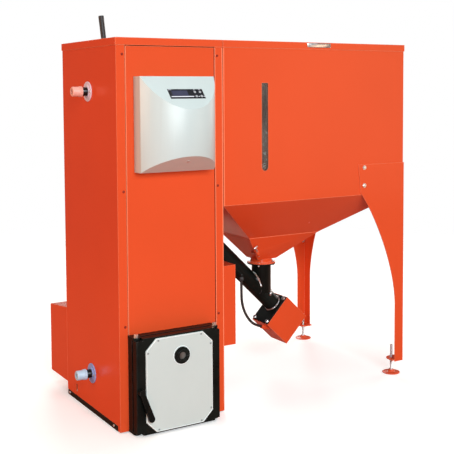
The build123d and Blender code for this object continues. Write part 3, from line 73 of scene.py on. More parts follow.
class Wire:
    """A value that runs between a finish's nodes. Arithmetic on it adds Math nodes."""

    def __init__(self, finish, socket):
        self.finish = finish
        self.socket = socket

    def __add__(self, other):
        return self.finish.maths("ADD", self, other)

    __radd__ = __add__

    def __sub__(self, other):
        return self.finish.maths("SUBTRACT", self, other)

    def __rsub__(self, other):
        return self.finish.maths("SUBTRACT", other, self)

    def __mul__(self, other):
        return self.finish.maths("MULTIPLY", self, other)

    __rmul__ = __mul__


class Finish:
    """A surface finish: one Principled shader whose sockets are fed by nodes."""

    def __init__(self, name, roughness=0.5, metallic=0.0, **constants):
        self.material = bpy.data.materials.new(name)
        self.material.use_nodes = True
        self.tree = self.material.node_tree
        self.tree.nodes.clear()
        self.shader = self.tree.nodes.new("ShaderNodeBsdfPrincipled")
        self.output = self.tree.nodes.new("ShaderNodeOutputMaterial")
        self.tree.links.new(self.shader.outputs[0], self.output.inputs["Surface"])
        self.set(Roughness=roughness, Metallic=metallic, **constants)
        self.place = self.node("ShaderNodeTexCoord", output="Object")

    def feed(self, socket, value):
        """Links a wire to a socket, or writes a constant on it."""
        if isinstance(value, Wire):
            self.tree.links.new(value.socket, socket)
        elif socket.type == "RGBA" and len(value) == 3:
            socket.default_value = (*value, 1.0)
        else:
            socket.default_value = value

    def node(self, kind, settings=None, inputs=None, output=0):
        """Adds a node: its settings first, then the values or wires of its sockets."""
        node = self.tree.nodes.new(kind)
        for key, value in (settings or {}).items():
            setattr(node, key, value)
        for key, value in (inputs or {}).items():
            self.feed(node.inputs[key], value)
        return Wire(self, node.outputs[output])

    def maths(self, operation, first, second):
        """A Math node on two numbers or wires."""
        return self.node("ShaderNodeMath", {"operation": operation}, {0: first, 1: second})

    def set(self, **values):
        """Feeds the shader's sockets; an underscore stands for the space in a socket's name."""
        for key, value in values.items():
            self.feed(self.shader.inputs[key.replace("_", " ")], value)

    def stretched(self, scale):
        """The object's coordinates, scaled apart along each axis."""
        return self.node("ShaderNodeVectorMath", {"operation": "MULTIPLY"},
                         {0: self.place, 1: scale})

    def noise(self, scale, detail=3.0, rough=0.55, place=None):
        """Cloudy noise from 0 to 1; the scale counts its clouds to the metre."""
        return self.node("ShaderNodeTexNoise", {},
                         {"Vector": place or self.place, "Scale": scale, "Detail": detail,
                          "Roughness": rough})

    def cells(self, scale):
        """The distance to the middle of each grain or flake."""
        return self.node("ShaderNodeTexVoronoi", {"feature": "F1"},
                         {"Vector": self.place, "Scale": scale}, output="Distance")

    def span(self, value, low, high, start=0.0, end=1.0):
        """Maps low to high onto start to end, and holds the ends."""
        return self.node("ShaderNodeMapRange", {"clamp": True},
                         {"Value": value, "From Min": low, "From Max": high, "To Min": start,
                          "To Max": end})

    def blend(self, mask, first, second):
        """Mixes two colours by a mask."""
        return self.node("ShaderNodeMix", {"data_type": "RGBA", "blend_type": "MIX"},
                         {0: mask, 6: first, 7: second}, output=2)

    def upward(self):
        """How far a surface looks up: 1 on a level top, 0 on a wall."""
        normal = self.node("ShaderNodeNewGeometry", output="Normal")
        return self.node("ShaderNodeSeparateXYZ", {}, {0: normal}, output="Z")

    def corner(self, radius):
        """Near 1 on edges and corners within the radius, 0 on flat faces."""
        rounded = self.node("ShaderNodeBevel", {"samples": 4}, {"Radius": radius})
        flat = self.node("ShaderNodeNewGeometry", output="Normal")
        turned = self.node("ShaderNodeVectorMath", {"operation": "DOT_PRODUCT"},
                           {0: rounded, 1: flat}, output="Value")
        return self.span(turned, 1.0, 0.93)

    def relief(self, height, distance, strength):
        """A bump from a height; the distance is its depth in metres."""
        self.set(Normal=self.node("ShaderNodeBump", {}, {"Height": height, "Distance": distance,
                                                         "Strength": strength}))


def shade(colour, share):
    """A colour made darker or lighter, to a share of its light."""
    return [channel * share for channel in colour]


def powder_coat(name, colour, edge_wear_and_highlight, shine=0.26, dusty=0.05):
    """Glossy powder coat: fine orange peel, faint smudges, paler edges that are partly rubbed wear
    and partly a painted highlight, and a little dust.
    """
    finish = Finish(name, Coat_Roughness=0.08, IOR=1.4, Specular_IOR_Level=0.22)
    drift = finish.noise(2.3, detail=2.0)
    speck = finish.noise(900.0, detail=2.0)
    smudge = finish.span(finish.noise(7.0, detail=5.0, rough=0.65), 0.45, 0.75)
    edge = finish.corner(0.0026)
    tone = finish.blend(finish.span(drift, 0.3, 0.7, end=0.35), colour, shade(colour, 0.86))
    tone = finish.blend(finish.span(speck, 0.35, 0.65, end=0.08), tone, shade(colour, 0.7))
    settled = finish.span(finish.upward(), 0.7, 1.0, end=dusty)
    dust = settled * finish.span(finish.noise(60.0, detail=4.0), 0.3, 0.7)
    tone = finish.blend(dust, tone, DUST)
    # Edges blend to the paler orange: partly rubbed wear, partly a painted highlight
    finish.set(Base_Color=finish.blend(edge * 0.7, tone, edge_wear_and_highlight), Coat_Weight=0.045 - smudge * 0.01,
               Roughness=shine + smudge * 0.015 + edge * 0.1)
    finish.relief(finish.noise(380.0, detail=1.5), distance=0.00012, strength=0.1)
    return finish.material


def black_enamel(name, colour=(0.0035, 0.0048, 0.0042), grain=520.0, shine=0.34, rust=0.0):
    """Black paint on steel: fine texture, cloudy tone, rubbed edges and, if asked, rust spots."""
    finish = Finish(name, IOR=1.35, Coat_Weight=0.01, Coat_Roughness=0.2, Specular_IOR_Level=0.14)
    edge = finish.corner(0.0015)
    rubbed = edge * finish.span(finish.noise(85.0), 0.42, 0.6, start=0.1, end=0.8)
    cloud = finish.noise(9.0, detail=4.0, rough=0.6)
    tone = finish.blend(finish.span(cloud, 0.35, 0.7), colour, shade(colour, 2.4))
    tone = finish.blend(rubbed, tone, RUBBED_STEEL)
    if rust:
        spots = finish.span(finish.noise(24.0, detail=6.0, rough=0.7), 0.6, 0.75, end=rust)
        tone = finish.blend(spots, tone, RUST)
    finish.set(Base_Color=tone,
               Roughness=shine + finish.span(cloud, 0.3, 0.7, start=-0.08, end=0.1))
    finish.relief(finish.noise(grain, detail=2.0), distance=0.00025, strength=0.5)
    return finish.material


def bare_steel(name, colour=(0.42, 0.41, 0.39), shine=0.38, lines=(3.0, 3.0, 260.0)):
    """Mill-finished steel with drawn lines, blotches and a few stains."""
    finish = Finish(name, metallic=1.0)
    streak = finish.noise(1.0, detail=4.0, rough=0.6, place=finish.stretched(lines))
    blotch = finish.noise(14.0, detail=5.0, rough=0.6)
    stain = finish.span(finish.noise(31.0, detail=6.0, rough=0.7), 0.62, 0.8)
    tone = finish.blend(finish.span(blotch, 0.3, 0.7, end=0.6), colour, shade(colour, 0.55))
    finish.set(Base_Color=finish.blend(stain * 0.35, tone, STAIN), Metallic=1.0 - stain * 0.6,
               Roughness=shine + finish.span(streak, 0.3, 0.7, start=-0.08, end=0.14))
    finish.relief(streak, distance=0.0002, strength=0.3)
    return finish.material


def zinc_plate(name, colour=(0.76, 0.77, 0.78)):
    """Bright zinc plating with a fine crystal mottling."""
    finish = Finish(name, metallic=1.0)
    spangle = finish.cells(700.0)
    dull = finish.span(finish.noise(160.0, detail=4.0), 0.4, 0.7)
    finish.set(Base_Color=finish.blend(dull * 0.5, colour, shade(colour, 0.62)),
               Roughness=0.22 + spangle * 0.12 + dull * 0.1)
    finish.relief(spangle, distance=0.0001, strength=0.25)
    return finish.material


def moulding(name, colour, shine=0.35, grain=1400.0, depth=0.00008, soil=(0.35, 0.32, 0.28),
             soiled=0.12, **extra):
    """Moulded plastic or smooth paint: fine grain, soft drift of colour, faint soiled marks and paler
    edges as a painted highlight.
    """
    finish = Finish(name, **extra)
    drift = finish.noise(6.0)
    marks = finish.span(finish.noise(45.0, detail=6.0, rough=0.7), 0.58, 0.78, end=soiled)
    edge = finish.corner(0.0012)
    # Edges blend to a paler tone: a painted highlight
    edge_highlight_tone = [min(1.0, channel * 1.25 + 0.02) for channel in colour]
    tone = finish.blend(finish.span(drift, 0.3, 0.7, end=0.3), colour, shade(colour, 0.9))
    tone = finish.blend(marks, tone, soil)
    finish.set(Base_Color=finish.blend(edge * 0.3, tone, edge_highlight_tone),
               Roughness=shine + marks * 0.8 + finish.span(drift, 0.3, 0.7, start=-0.03, end=0.04))
    finish.relief(finish.noise(grain, detail=2.0), distance=depth, strength=0.4)
    return finish.material


def mineral_wool(name):
    """Yellowish fibre matting."""
    finish = Finish(name, roughness=0.95)
    fibre = finish.noise(140.0, detail=8.0, rough=0.75, place=finish.stretched((1.0, 0.35, 1.0)))
    finish.set(Base_Color=finish.blend(fibre, (0.30, 0.22, 0.08), (0.68, 0.56, 0.30)))
    finish.relief(fibre, distance=0.004, strength=1.0)
    return finish.material


def fire_board(name):
    """Pale vermiculite board, pitted and a little scorched."""
    finish = Finish(name, roughness=0.9)
    flake = finish.cells(260.0)
    scorch = finish.span(finish.noise(9.0, detail=4.0), 0.5, 0.75)
    tone = finish.blend(flake, (0.42, 0.33, 0.20), (0.62, 0.53, 0.38))
    finish.set(Base_Color=finish.blend(scorch * 0.7, tone, (0.10, 0.085, 0.07)))
    finish.relief(flake, distance=0.0012, strength=0.7)
    return finish.material


def rope_seal(name):
    """Braided glass cord round the door's opening."""
    finish = Finish(name, roughness=0.9)
    braid = finish.node("ShaderNodeTexWave", {"wave_type": "BANDS", "bands_direction": "DIAGONAL"},
                        {"Vector": finish.place, "Scale": 160.0, "Distortion": 1.5, "Detail": 2.0})
    finish.set(Base_Color=finish.blend(braid, (0.30, 0.28, 0.25), (0.72, 0.70, 0.64)))
    finish.relief(braid, distance=0.001, strength=0.8)
    return finish.material


def clear_pane(name, tint, see_through, shine=0.05):
    """A clear pane, faintly tinted and smeared; see_through is the share of light it lets by."""
    finish = Finish(name, roughness=shine, IOR=1.49)
    wiped = finish.stretched((1.0, 1.0, 0.3))
    smear = finish.span(finish.noise(26.0, detail=5.0, rough=0.6, place=wiped), 0.4, 0.75)
    finish.set(Base_Color=finish.blend(smear * 0.4, tint, (0.5, 0.48, 0.44)),
               Roughness=shine + smear * 0.12, Alpha=(1.0 - see_through) + smear * 0.08)
    return finish.material


def display_panel(name):
    """A dark blue liquid crystal panel, a little uneven in tone."""
    finish = Finish(name, roughness=0.12, Specular_IOR_Level=0.12)
    glow = finish.noise(18.0, detail=2.0)
    finish.set(Base_Color=finish.blend(glow, (0.012, 0.012, 0.040), (0.026, 0.032, 0.075)),
               Coat_Weight=finish.span(glow, 0.0, 1.0, start=0.05, end=0.1))
    return finish.material


# One finish for each of the record's material slots, and those of the pieces made below
finishes = {
    "orange_coat": powder_coat("orange powder coat", ORANGE, ORANGE_EDGE_WEAR_AND_HIGHLIGHT),
    "cover_coat": powder_coat("orange cover coat", ORANGE, ORANGE_EDGE_WEAR_AND_HIGHLIGHT, shine=0.3, dusty=0.07),
    "black_coat": black_enamel("black enamel", rust=0.15),
    "raw_steel": bare_steel("mill-finished steel"),
    "zinc": zinc_plate("zinc plate"),
    "white_coat": moulding("white stove enamel", (0.545, 0.64, 0.625), shine=0.22, grain=420.0,
                           soiled=0.08, Coat_Weight=0.3),
    "control_white": moulding("control box shell", (0.52, 0.605, 0.60), shine=0.38, soiled=0.05),
    "wool": mineral_wool("mineral wool"),
    "flow_plastic": moulding("rose cap plastic", (0.78, 0.40, 0.33), shine=0.4),
    "return_plastic": moulding("blue cap plastic", (0.42, 0.62, 0.78), shine=0.4),
    "rosette_lilac": moulding("lilac rosette", (0.74, 0.64, 0.74), shine=0.34),
    "rosette_blue": moulding("pale blue rosette", (0.26, 0.38, 0.74), shine=0.34),
    "bezel_black": moulding("display bezel", (0.004, 0.005, 0.009), shine=0.3,
                            soil=(0.03, 0.03, 0.03), Specular_IOR_Level=0.12),
    "lcd": display_panel("display panel"),
    "button_grey": moulding("button rubber", (0.36, 0.38, 0.40), shine=0.5),
    "clear_window": clear_pane("level window", (0.10, 0.09, 0.085), 0.72),
    "sight_pane": clear_pane("sight glass", (0.006, 0.006, 0.007), 0.12),
    "lining": fire_board("door lining board"),
    "seal_cord": rope_seal("seal cord"),
    "handle_black": moulding("black hard rubber", (0.016, 0.016, 0.017), shine=0.5, grain=700.0,
                             depth=0.0002, soil=HANDLED_RUBBER),
    "chrome": zinc_plate("bright chrome", (0.80, 0.80, 0.80)),
    # A dark strip laid in the joints between sheets as a painted shadow
    "joint_shadow": powder_coat("painted shadow in sheet joint", (0.10, 0.008, 0.004), (0.11, 0.009, 0.005),
                                shine=0.6),
    # A paler orange laid along folded edges as a painted highlight
    "folded_edge_highlight": powder_coat("painted highlight on folded edge", (0.86, 0.17, 0.075), (0.95, 0.30, 0.16)),
    "print_white": moulding("display print", (0.80, 0.82, 0.90), shine=0.5),
    "wood_dust": moulding("wood dust", (0.80, 0.72, 0.64), shine=0.8, grain=2200.0,
                          depth=0.0003),
    # A paler white laid on the door plate's rim as a painted highlight
    "plate_rim": moulding("painted highlight on plate rim", (0.86, 0.95, 0.95), shine=0.3, soiled=0.05),
    "plate_screw": moulding("plate screw", (0.26, 0.29, 0.29), shine=0.3,
                            soil=(0.10, 0.10, 0.10)),
    "pipe_black": bare_steel("blackened pipe", (0.035, 0.037, 0.040), shine=0.3),
    "strip_screw": powder_coat("painted screw", (0.22, 0.010, 0.006), (0.40, 0.06, 0.03)),
    "cable_black": moulding("cable sheath", (0.014, 0.014, 0.015), shine=0.45, grain=900.0,
                            soil=HANDLED_RUBBER),
    "motor_paint": black_enamel("motor paint", (0.07, 0.075, 0.085), shine=0.4),
    "wheel_alu": bare_steel("cast aluminium", (0.62, 0.62, 0.61), shine=0.45,
                            lines=(40.0, 40.0, 40.0)),
}

# Nodes that show another finish than their slot's: the pipe ends are blackened
NODE_FINISHES = {"pipe_stubs": "pipe_black"}

# How wide the sharp edges of each slot's nodes are broken
EDGE_BREAKS = {"orange_coat": 0.0012, "cover_coat": 0.0014, "black_coat": 0.0009,
               "white_coat": 0.0005, "control_white": 0.0022, "zinc": 0.0003, "chrome": 0.0006,
               "bezel_black": 0.0005, "flow_plastic": 0.0005, "return_plastic": 0.0005,
               "rosette_lilac": 0.0004, "rosette_blue": 0.0004, "raw_steel": 0.0004,
               "button_grey": 0.0005, "motor_paint": 0.0012, "lining": 0.0012}

# Points closer than the gap are one; faces turned less than the first angle are one flat, those
# turned more than the second meet in an edge that is broken, and the third parts smooth from sharp
WELD_GAP = 0.00001
FLAT_WITHIN, EDGE_FROM, SHARP_FROM = math.radians(0.4), math.radians(32), math.radians(35)

# Every CAD node takes its finish; its flat faces are made whole before its edges are broken
for part in frame["record"]["subparts"]:
    node, slot = frame["nodes"][part["node"]], part["material_slot"]
    node.data.materials.clear()
    node.data.materials.append(finishes[NODE_FINISHES.get(part["node"], slot)])
    if slot in EDGE_BREAKS:
        weld = node.modifiers.new("welded", "WELD")
        weld.merge_threshold = WELD_GAP
        flat = node.modifiers.new("whole flats", "DECIMATE")
        flat.decimate_type = "DISSOLVE"
        flat.angle_limit = FLAT_WITHIN
        broken = node.modifiers.new("edge break", "BEVEL")
        broken.width = EDGE_BREAKS[slot]
        broken.segments = 2
        broken.limit_method = "ANGLE"
        broken.angle_limit = EDGE_FROM
        broken.harden_normals = True


class Shape:
    """A mesh in the making, in metres. Each part is drawn round the origin and then set in place."""

    def __init__(self):
        self.mesh = bmesh.new()

    def skin(self, rings, place=Matrix(), closed=False):
        """Joins rings of points in a row; open ends are filled."""
        rows = [[self.mesh.verts.new(place @ Vector(point)) for point in ring] for ring in rings]
        pairs = list(zip(rows, rows[1:]))
        if closed:
            pairs.append((rows[-1], rows[0]))
        else:
            self.mesh.faces.new(rows[0][::-1])
            self.mesh.faces.new(rows[-1])
        for one, two in pairs:
            for here in range(len(one)):
                self.mesh.faces.new((one[here - 1], one[here], two[here], two[here - 1]))
        return rows

    def turned(self, profile, place=Matrix(), steps=24, closed=False):
        """Turns (radius, height) points about the Z axis."""
        return self.skin([[(radius * math.cos(turn), radius * math.sin(turn), height)
                           for turn in turns(steps)] for radius, height in profile], place, closed)

    def stamp(self, pattern, place):
        """Adds a copy of a finished mesh at a place."""
        before = len(self.mesh.verts)
        self.mesh.from_mesh(pattern)
        self.mesh.verts.ensure_lookup_table()
        bmesh.ops.transform(self.mesh, matrix=place, verts=self.mesh.verts[before:])

    def bead(self, route, radius, above, closed=False):
        """A weld bead along points, with the ripples that the welder leaves."""
        rings = []
        for index, spot in enumerate(route):
            after = route[(index + 1) % len(route)] if closed or index + 1 < len(route) else spot
            before = route[index - 1] if closed or index else spot
            along = (after - before).normalized()
            side = along.cross(above).normalized()
            lift = side.cross(along)
            ripple, swell = 0.2 * math.sin(index * 1.7), 0.22 * math.sin(index * 0.41)
            thick = radius * (1.0 + ripple + swell + random.uniform(-0.14, 0.14))
            rings.append(round_ring(spot, thick, side, lift))
        self.skin(rings, closed=closed)

    def finished(self, name):
        """The finished mesh, smooth but for its sharp edges."""
        bmesh.ops.recalc_face_normals(self.mesh, faces=self.mesh.faces)
        mesh = bpy.data.meshes.new(name)
        self.mesh.to_mesh(mesh)
        self.mesh.free()
        mesh.shade_smooth()
        mesh.set_sharp_from_angle(angle=SHARP_FROM)
        return mesh


def turns(steps, start=0.0, end=2 * math.pi):
    """Equal steps of a turn, in radians; the end itself is left out."""
    return [start + (end - start) * step / steps for step in range(steps)]


def round_ring(spot, radius, across, above):
    """Eight points round a spot, in the plane of two directions."""
    return [spot + radius * (math.cos(turn) * across + math.sin(turn) * above) for turn in turns(8)]


def facing(spot, outward, spin=0.0):
    """The place of something that stands on a wall and looks outward; spin is in degrees."""
    turned = Vector(outward).to_track_quat("Z", "X").to_matrix().to_4x4()
    return Matrix.Translation(spot) @ turned @ Matrix.Rotation(math.radians(spin), 4, "Z")


def add_piece(name, mesh, slot, body="boiler", replaced=(), finish=None):
    """Puts a mesh in the scene as a piece that rides on a body and stands for the nodes replaced."""
    mesh.materials.append(finish or finishes[slot])
    piece = bpy.data.objects.new(name, mesh)
    scene.collection.objects.link(piece)
    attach(piece, body)
    if replaced:
        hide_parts(*replaced)


def pan_screw(radius, height):
    """A domed screw head with a cross recess."""
    head, sides = Shape(), 20
    dome = [(radius * 0.96, 0.0), (radius, height * 0.3), (radius * 0.93, height * 0.65),
            (radius * 0.78, height * 0.9), (radius * 0.6, height)]
    outer = head.turned(dome, steps=sides)[-1]
    head.mesh.faces.remove(next(face for face in outer[0].link_faces if len(face.verts) == sides))
    wide, long = radius * 0.11, radius * 0.5
    cross = [(long, wide), (wide, wide), (wide, long)]
    cross += [(-y, x) for x, y in cross] + [(-x, -y) for x, y in cross] + [(y, -x) for x, y in cross]
    mouth = [head.mesh.verts.new((x, y, height)) for x, y in cross]
    floor = [head.mesh.verts.new((x * 0.7, y * 0.7, height * 0.35)) for x, y in cross]
    for here in range(len(cross)):
        head.mesh.faces.new((mouth[here - 1], mouth[here], floor[here], floor[here - 1]))
    head.mesh.faces.new(floor)
    rims = [head.mesh.edges.get((ring[here - 1], ring[here]))
            for ring in (outer, mouth) for here in range(len(ring))]
    bmesh.ops.triangle_fill(head.mesh, use_beauty=True, use_dissolve=False, edges=rims)
    return head.finished("pan_screw")


def hex_bolt(across, tall, washer=0.0, shank=0.0):
    """A hexagon head with chamfered corners on a washer; a shank may stand out of its top."""
    bolt, steps = Shape(), 36
    flat = across / 2
    chamfer, side = flat * 0.94, math.pi / 3
    corners = [flat / math.cos((turn + side / 2) % side - side / 2) for turn in turns(steps)]
    if washer:
        bolt.turned([(flat * 1.5, 0.0), (flat * 1.56, washer * 0.4), (flat * 1.5, washer),
                     (flat * 0.7, washer)])
    levels = ([(reach, 0.0) for reach in corners],
              [(reach, tall - (reach - chamfer) * 0.6) for reach in corners],
              [(chamfer, tall)] * steps, [(flat * 0.9, tall)] * steps)
    bolt.skin([[(reach * math.cos(turn), reach * math.sin(turn), washer + level)
                for (reach, level), turn in zip(ring, turns(steps))] for ring in levels])
    if shank:
        bolt.turned([(shank, washer + tall * 0.9), (shank, washer + tall + shank * 0.8),
                     (shank * 0.8, washer + tall + shank)], steps=16)
    return bolt.finished("hex_bolt")


def set_head(heads, head, spot, outward, most=90):
    """Sets a screw or bolt head on a wall, turned by chance, by most degrees at the most."""
    heads.stamp(head, facing(spot, outward, random.uniform(0, most)))


# Casing screws: painted ones in the strips, and bright ones in the rails, the pipe rosettes, the
# drain plug and the control box's underside
small_head, rail_head = pan_screw(0.005, 0.0025), pan_screw(0.006, 0.003)
plate_head = pan_screw(0.004, 0.002)
strip_heads = Shape()
bright_heads = Shape()
for side in (-1, 1):
    for height in (0.408, 0.9225, 1.437):
        set_head(strip_heads, small_head, (side * 0.205, CASING_FRONT, height), FRONT)
        set_head(strip_heads, small_head, (side * 0.220, CASING_BACK, height), BACK)
    for y in (-0.207, 0.252):
        set_head(bright_heads, rail_head, (side * 0.2285, y, 0.012), (side, 0, 0))
for y in (-0.031, 0.031):
    for height in (1.299, 0.163):
        set_head(bright_heads, small_head, (-0.234, y, height), LEFT)
drain_plug, control_box_foot = (-0.2270, 0.168, 0.045), (0.003, -0.402, 1.0363)
bright_heads.stamp(small_head, facing(drain_plug, LEFT, 30))
bright_heads.stamp(rail_head, facing(control_box_foot, (0, -0.55, -1)))
add_piece("strip_screws", strip_heads.finished("strip_screws"), "orange_coat",
          replaced=["casing_screws"], finish=finishes["strip_screw"])
add_piece("bright_screws", bright_heads.finished("bright_screws"), "zinc",
          replaced=["casing_screws"])

# Screws of the white door plate, two beside each cut corner
half_wide, half_tall = 0.1445, 0.180
plate_heads = Shape()
for side in (-1, 1):
    for rise in (-1, 1):
        for across, down in ((0.052, 0.009), (0.009, 0.052)):
            set_head(plate_heads, plate_head,
                     (DOOR_PLATE_MIDDLE[0] + side * (half_wide - across), DOOR_PLATE_FACE,
                      DOOR_PLATE_MIDDLE[1] + rise * (half_tall - down)), FRONT)
add_piece("plate_screws", plate_heads.finished("plate_screws"), "zinc", "door", ["door_screws"],
          finishes["plate_screw"])

# Pressed rim of the white door plate, and the ring that seats the sight port: raised beads painted
# paler than the plate as a highlight
port_middle, port_radius = (-0.006, 0.290), 0.0352
rim_outline = [(-0.1550, 0.0532), (-0.1138, 0.0120), (0.0868, 0.0120), (0.1280, 0.0532),
               (0.1280, 0.3248), (0.0868, 0.3660), (-0.1138, 0.3660), (-0.1550, 0.3248)]
port_outline = [(port_middle[0] + port_radius * math.cos(turn),
                 port_middle[1] + port_radius * math.sin(turn)) for turn in turns(48)]
plate_rim = Shape()
for outline, thick in ((rim_outline, 0.0014), (port_outline, 0.0015)):
    spots = [Vector((x, DOOR_PLATE_FACE, z)) for x, z in outline]
    middle = sum(spots, Vector()) / len(spots)
    plate_rim.skin([round_ring(spot, thick, (spot - middle).normalized(), Vector(FRONT))
                    for spot in spots], closed=True)
add_piece("plate_rim", plate_rim.finished("plate_rim"), "white_coat", "door",
          finish=finishes["plate_rim"])

# The auger tube's slant: along points down to the motor, and out points square to the tube, up and
# to the right. The motor hangs a little below the tube's middle.
SLANT_COS, SLANT_SIN = 0.7181, 0.6959
auger_start = Vector((*DOWN_TUBE_MIDDLE, 0.3686))
auger_along, auger_out = Vector((SLANT_COS, 0.0, -SLANT_SIN)), Vector((SLANT_SIN, 0.0, SLANT_COS))
MOTOR_DROP = -0.027


def on_auger(along, out=0.0, y=0.0):
    """A place given along the auger tube from under the down tube, square to it, and in Y."""
    return auger_start + along * auger_along + out * auger_out + Vector((0, y, 0))


def round_down_tube(radius, height, steps):
    """Points of a circle round the down tube."""
    x, y = DOWN_TUBE_MIDDLE
    return [Vector((x + radius * math.cos(turn), y + radius * math.sin(turn), height))
            for turn in turns(steps)]


# Bolts of the legs, of the flange under the funnel and of the motor plate
leg_bolt, plate_bolt = hex_bolt(0.0130, 0.0042, 0.0012), hex_bolt(0.0130, 0.0050, 0.0014)
flange_bolt, flange_nut = hex_bolt(0.0085, 0.0042, 0.0008), hex_bolt(0.0085, 0.0040, 0.0008, 0.0028)
bolt_circle, flange_top, flange_foot = 0.057, 0.513, 0.503
bolts = Shape()
for height in (0.879, 0.958):
    set_head(bolts, leg_bolt, (0.954, -0.275, height), FRONT, 60)
    set_head(bolts, leg_bolt, (0.954, 0.487, height), BACK, 60)
for turn in turns(4, math.pi / 4, 2.25 * math.pi):
    x = DOWN_TUBE_MIDDLE[0] + bolt_circle * math.cos(turn)
    y = DOWN_TUBE_MIDDLE[1] + bolt_circle * math.sin(turn)
    set_head(bolts, flange_bolt, (x, y, flange_top), UP, 60)
    set_head(bolts, flange_nut, (x, y, flange_foot), DOWN, 60)
for across in (-0.066, 0.066):
    for y in (-0.051, 0.051):
        set_head(bolts, plate_bolt, on_auger(0.086, across + MOTOR_DROP, y), -auger_along, 60)
add_piece("hopper_hardware", bolts.finished("hopper_hardware"), "zinc", replaced=["hopper_bolts"])

# Weld beads: where the down tube meets the auger tube, round the motor plate, and at the down
# tube's flange and the funnel's neck
SADDLE_BEAD, PLATE_BEAD, FLANGE_BEAD = 0.0042, 0.0034, 0.0022
bare_beads = Shape()
for middle in (0.0, math.pi):
    saddle = []
    for step in range(-38, 39):
        turn = middle + math.radians(step * 1.5)
        x, y = DOWN_TUBE_RADIUS * math.cos(turn), DOWN_TUBE_RADIUS * math.sin(turn)
        rise = math.sqrt(max(0.0, AUGER_TUBE_RADIUS ** 2 - y ** 2))
        saddle.append(auger_start + Vector((x, y, (rise - SLANT_SIN * x) / SLANT_COS)))
    bare_beads.bead(saddle, SADDLE_BEAD, auger_out)
plate_ring = [on_auger(0.0855) + 0.0388 * (math.cos(turn) * Vector(BACK)
                                           + math.sin(turn) * auger_out) for turn in turns(130)]
bare_beads.bead(plate_ring, PLATE_BEAD, auger_along, True)
add_piece("weld_beads", bare_beads.finished("weld_beads"), "raw_steel", finish=finishes["zinc"])
for name, slot, ring in (("flange_bead", "black_coat", round_down_tube(0.0452, 0.5022, 150)),
                         ("neck_bead", "orange_coat", round_down_tube(0.0498, 0.5138, 160))):
    bead = Shape()
    bead.bead(ring, FLANGE_BEAD, Vector(UP), True)
    add_piece(name, bead.finished(name), slot)

# Levelling feet: a threaded stem with its two nuts, and a dished pad
stem_radius, thread_depth, half_pitch = 0.0060, 0.0009, 0.00085
thread = [(stem_radius - thread_depth * (row % 2), 0.0150 + row * half_pitch)
          for row in range(135)]
pad_profile = [(0.0390, 0.0), (0.0400, 0.0008), (0.0400, 0.0026), (0.0392, 0.0036),
               (0.0375, 0.0042), (0.0200, 0.0052), (0.0160, 0.0070), (0.0138, 0.0110),
               (0.0130, 0.0138), (0.0118, 0.0150), (0.0062, 0.0150)]
stem_nut = hex_bolt(0.0173, 0.0080)
for foot, y in (("foot_front", -0.238), ("foot_rear", 0.450)):
    base = Matrix.Translation((1.146, y, 0.0))
    stem = Shape()
    stem.turned([(stem_radius, 0.0140), *thread, (0.0046, 0.1300)], base, 20)
    stem.stamp(stem_nut, base @ Matrix.Translation((0, 0, 0.0577)))
    stem.stamp(stem_nut, base @ Matrix.Translation((0, 0, 0.0150)) @ Matrix.Scale(0.6, 4, UP))
    add_piece(foot + "_stem", stem.finished("stem"), "zinc", foot, [foot])
    pad = Shape()
    pad.turned(pad_profile, base, 48)
    add_piece(foot + "_pad", pad.finished("pad"), "orange_coat", foot, [foot])

# Grip of the cleaning lever: a hard rubber sleeve with a rolled foot and a rounded, dimpled end
grip_place = Matrix.Translation((-0.150, 0.018, 1.498)) @ Matrix.Rotation(math.radians(-6.3), 4, "Y")
grip = Shape()
grip.turned([(0.0082, 0.0), (0.0104, 0.0006), (0.0110, 0.0022), (0.0108, 0.0042), (0.0102, 0.0052),
             (0.0104, 0.0300), (0.0106, 0.0600), (0.0109, 0.0960), (0.0110, 0.0990), (0.0107, 0.1020),
             (0.0098, 0.1040), (0.0080, 0.1048), (0.0030, 0.1049), (0.0024, 0.1040),
             (0.0010, 0.1036)], grip_place, 32)
add_piece("lever_grip", grip.finished("lever_grip"), "handle_black", "cleaning", ["cleaning_grip"])


def sheet_lines(name, spans, finish):
    """Long thin upright ridges: left and right side, crest and foot in Y, lower and upper end."""
    lines = Shape()
    for left, right, crest, foot, low, high in spans:
        lines.skin([[(left, foot, z), ((left + right) / 2, crest, z), (right, foot, z)]
                    for z in (low, high)])
    add_piece(name, lines.finished(name), "orange_coat", finish=finishes[finish])


# Joints between the front sheets: a dark strip in each as a painted shadow, and a paler strip beside
# it as a painted highlight on the folded edge
sheet_lines("painted_joint_shadows", (
    (-0.1946, -0.1914, -0.27215, -0.2697, 0.0300, 1.4670),
    (0.1908, 0.1942, -0.27035, -0.2697, 0.0300, 1.4670),
    (0.2297, 0.2330, -0.27225, -0.2712, 0.8390, 1.4690)), "joint_shadow")
sheet_lines("painted_edge_highlights", (
    (-0.1914, -0.1880, -0.27060, -0.2697, 0.0300, 1.4670),
    (0.1942, 0.1972, -0.27245, -0.2719, 0.0300, 1.4670),
    (0.2262, 0.2294, -0.27245, -0.2719, 0.0300, 1.4670),
    (0.2344, 0.2380, -0.27245, -0.2719, 0.8390, 1.4690)), "folded_edge_highlight")

# Pressed fold between the funnel's two slopes, a bead painted paler as a highlight
fold_left, fold_right, fold_front, fold_back, fold_height = 0.512, 0.889, -0.022, 0.234, 0.6470
fold_corners = [Vector((fold_left, fold_front, fold_height)),
                Vector((fold_right, fold_front, fold_height)),
                Vector((fold_right, fold_back, fold_height)),
                Vector((fold_left, fold_back, fold_height))]
funnel_fold_highlight = Shape()
for corner, following in zip(fold_corners, fold_corners[1:] + fold_corners[:1]):
    outward = (following - corner).normalized().cross(Vector(UP))
    funnel_fold_highlight.skin([round_ring(spot, 0.0015, outward, Vector(UP)) for spot in (corner, following)])
add_piece("funnel_fold_highlight", funnel_fold_highlight.finished("funnel_fold_highlight"), "orange_coat",
          finish=finishes["folded_edge_highlight"])

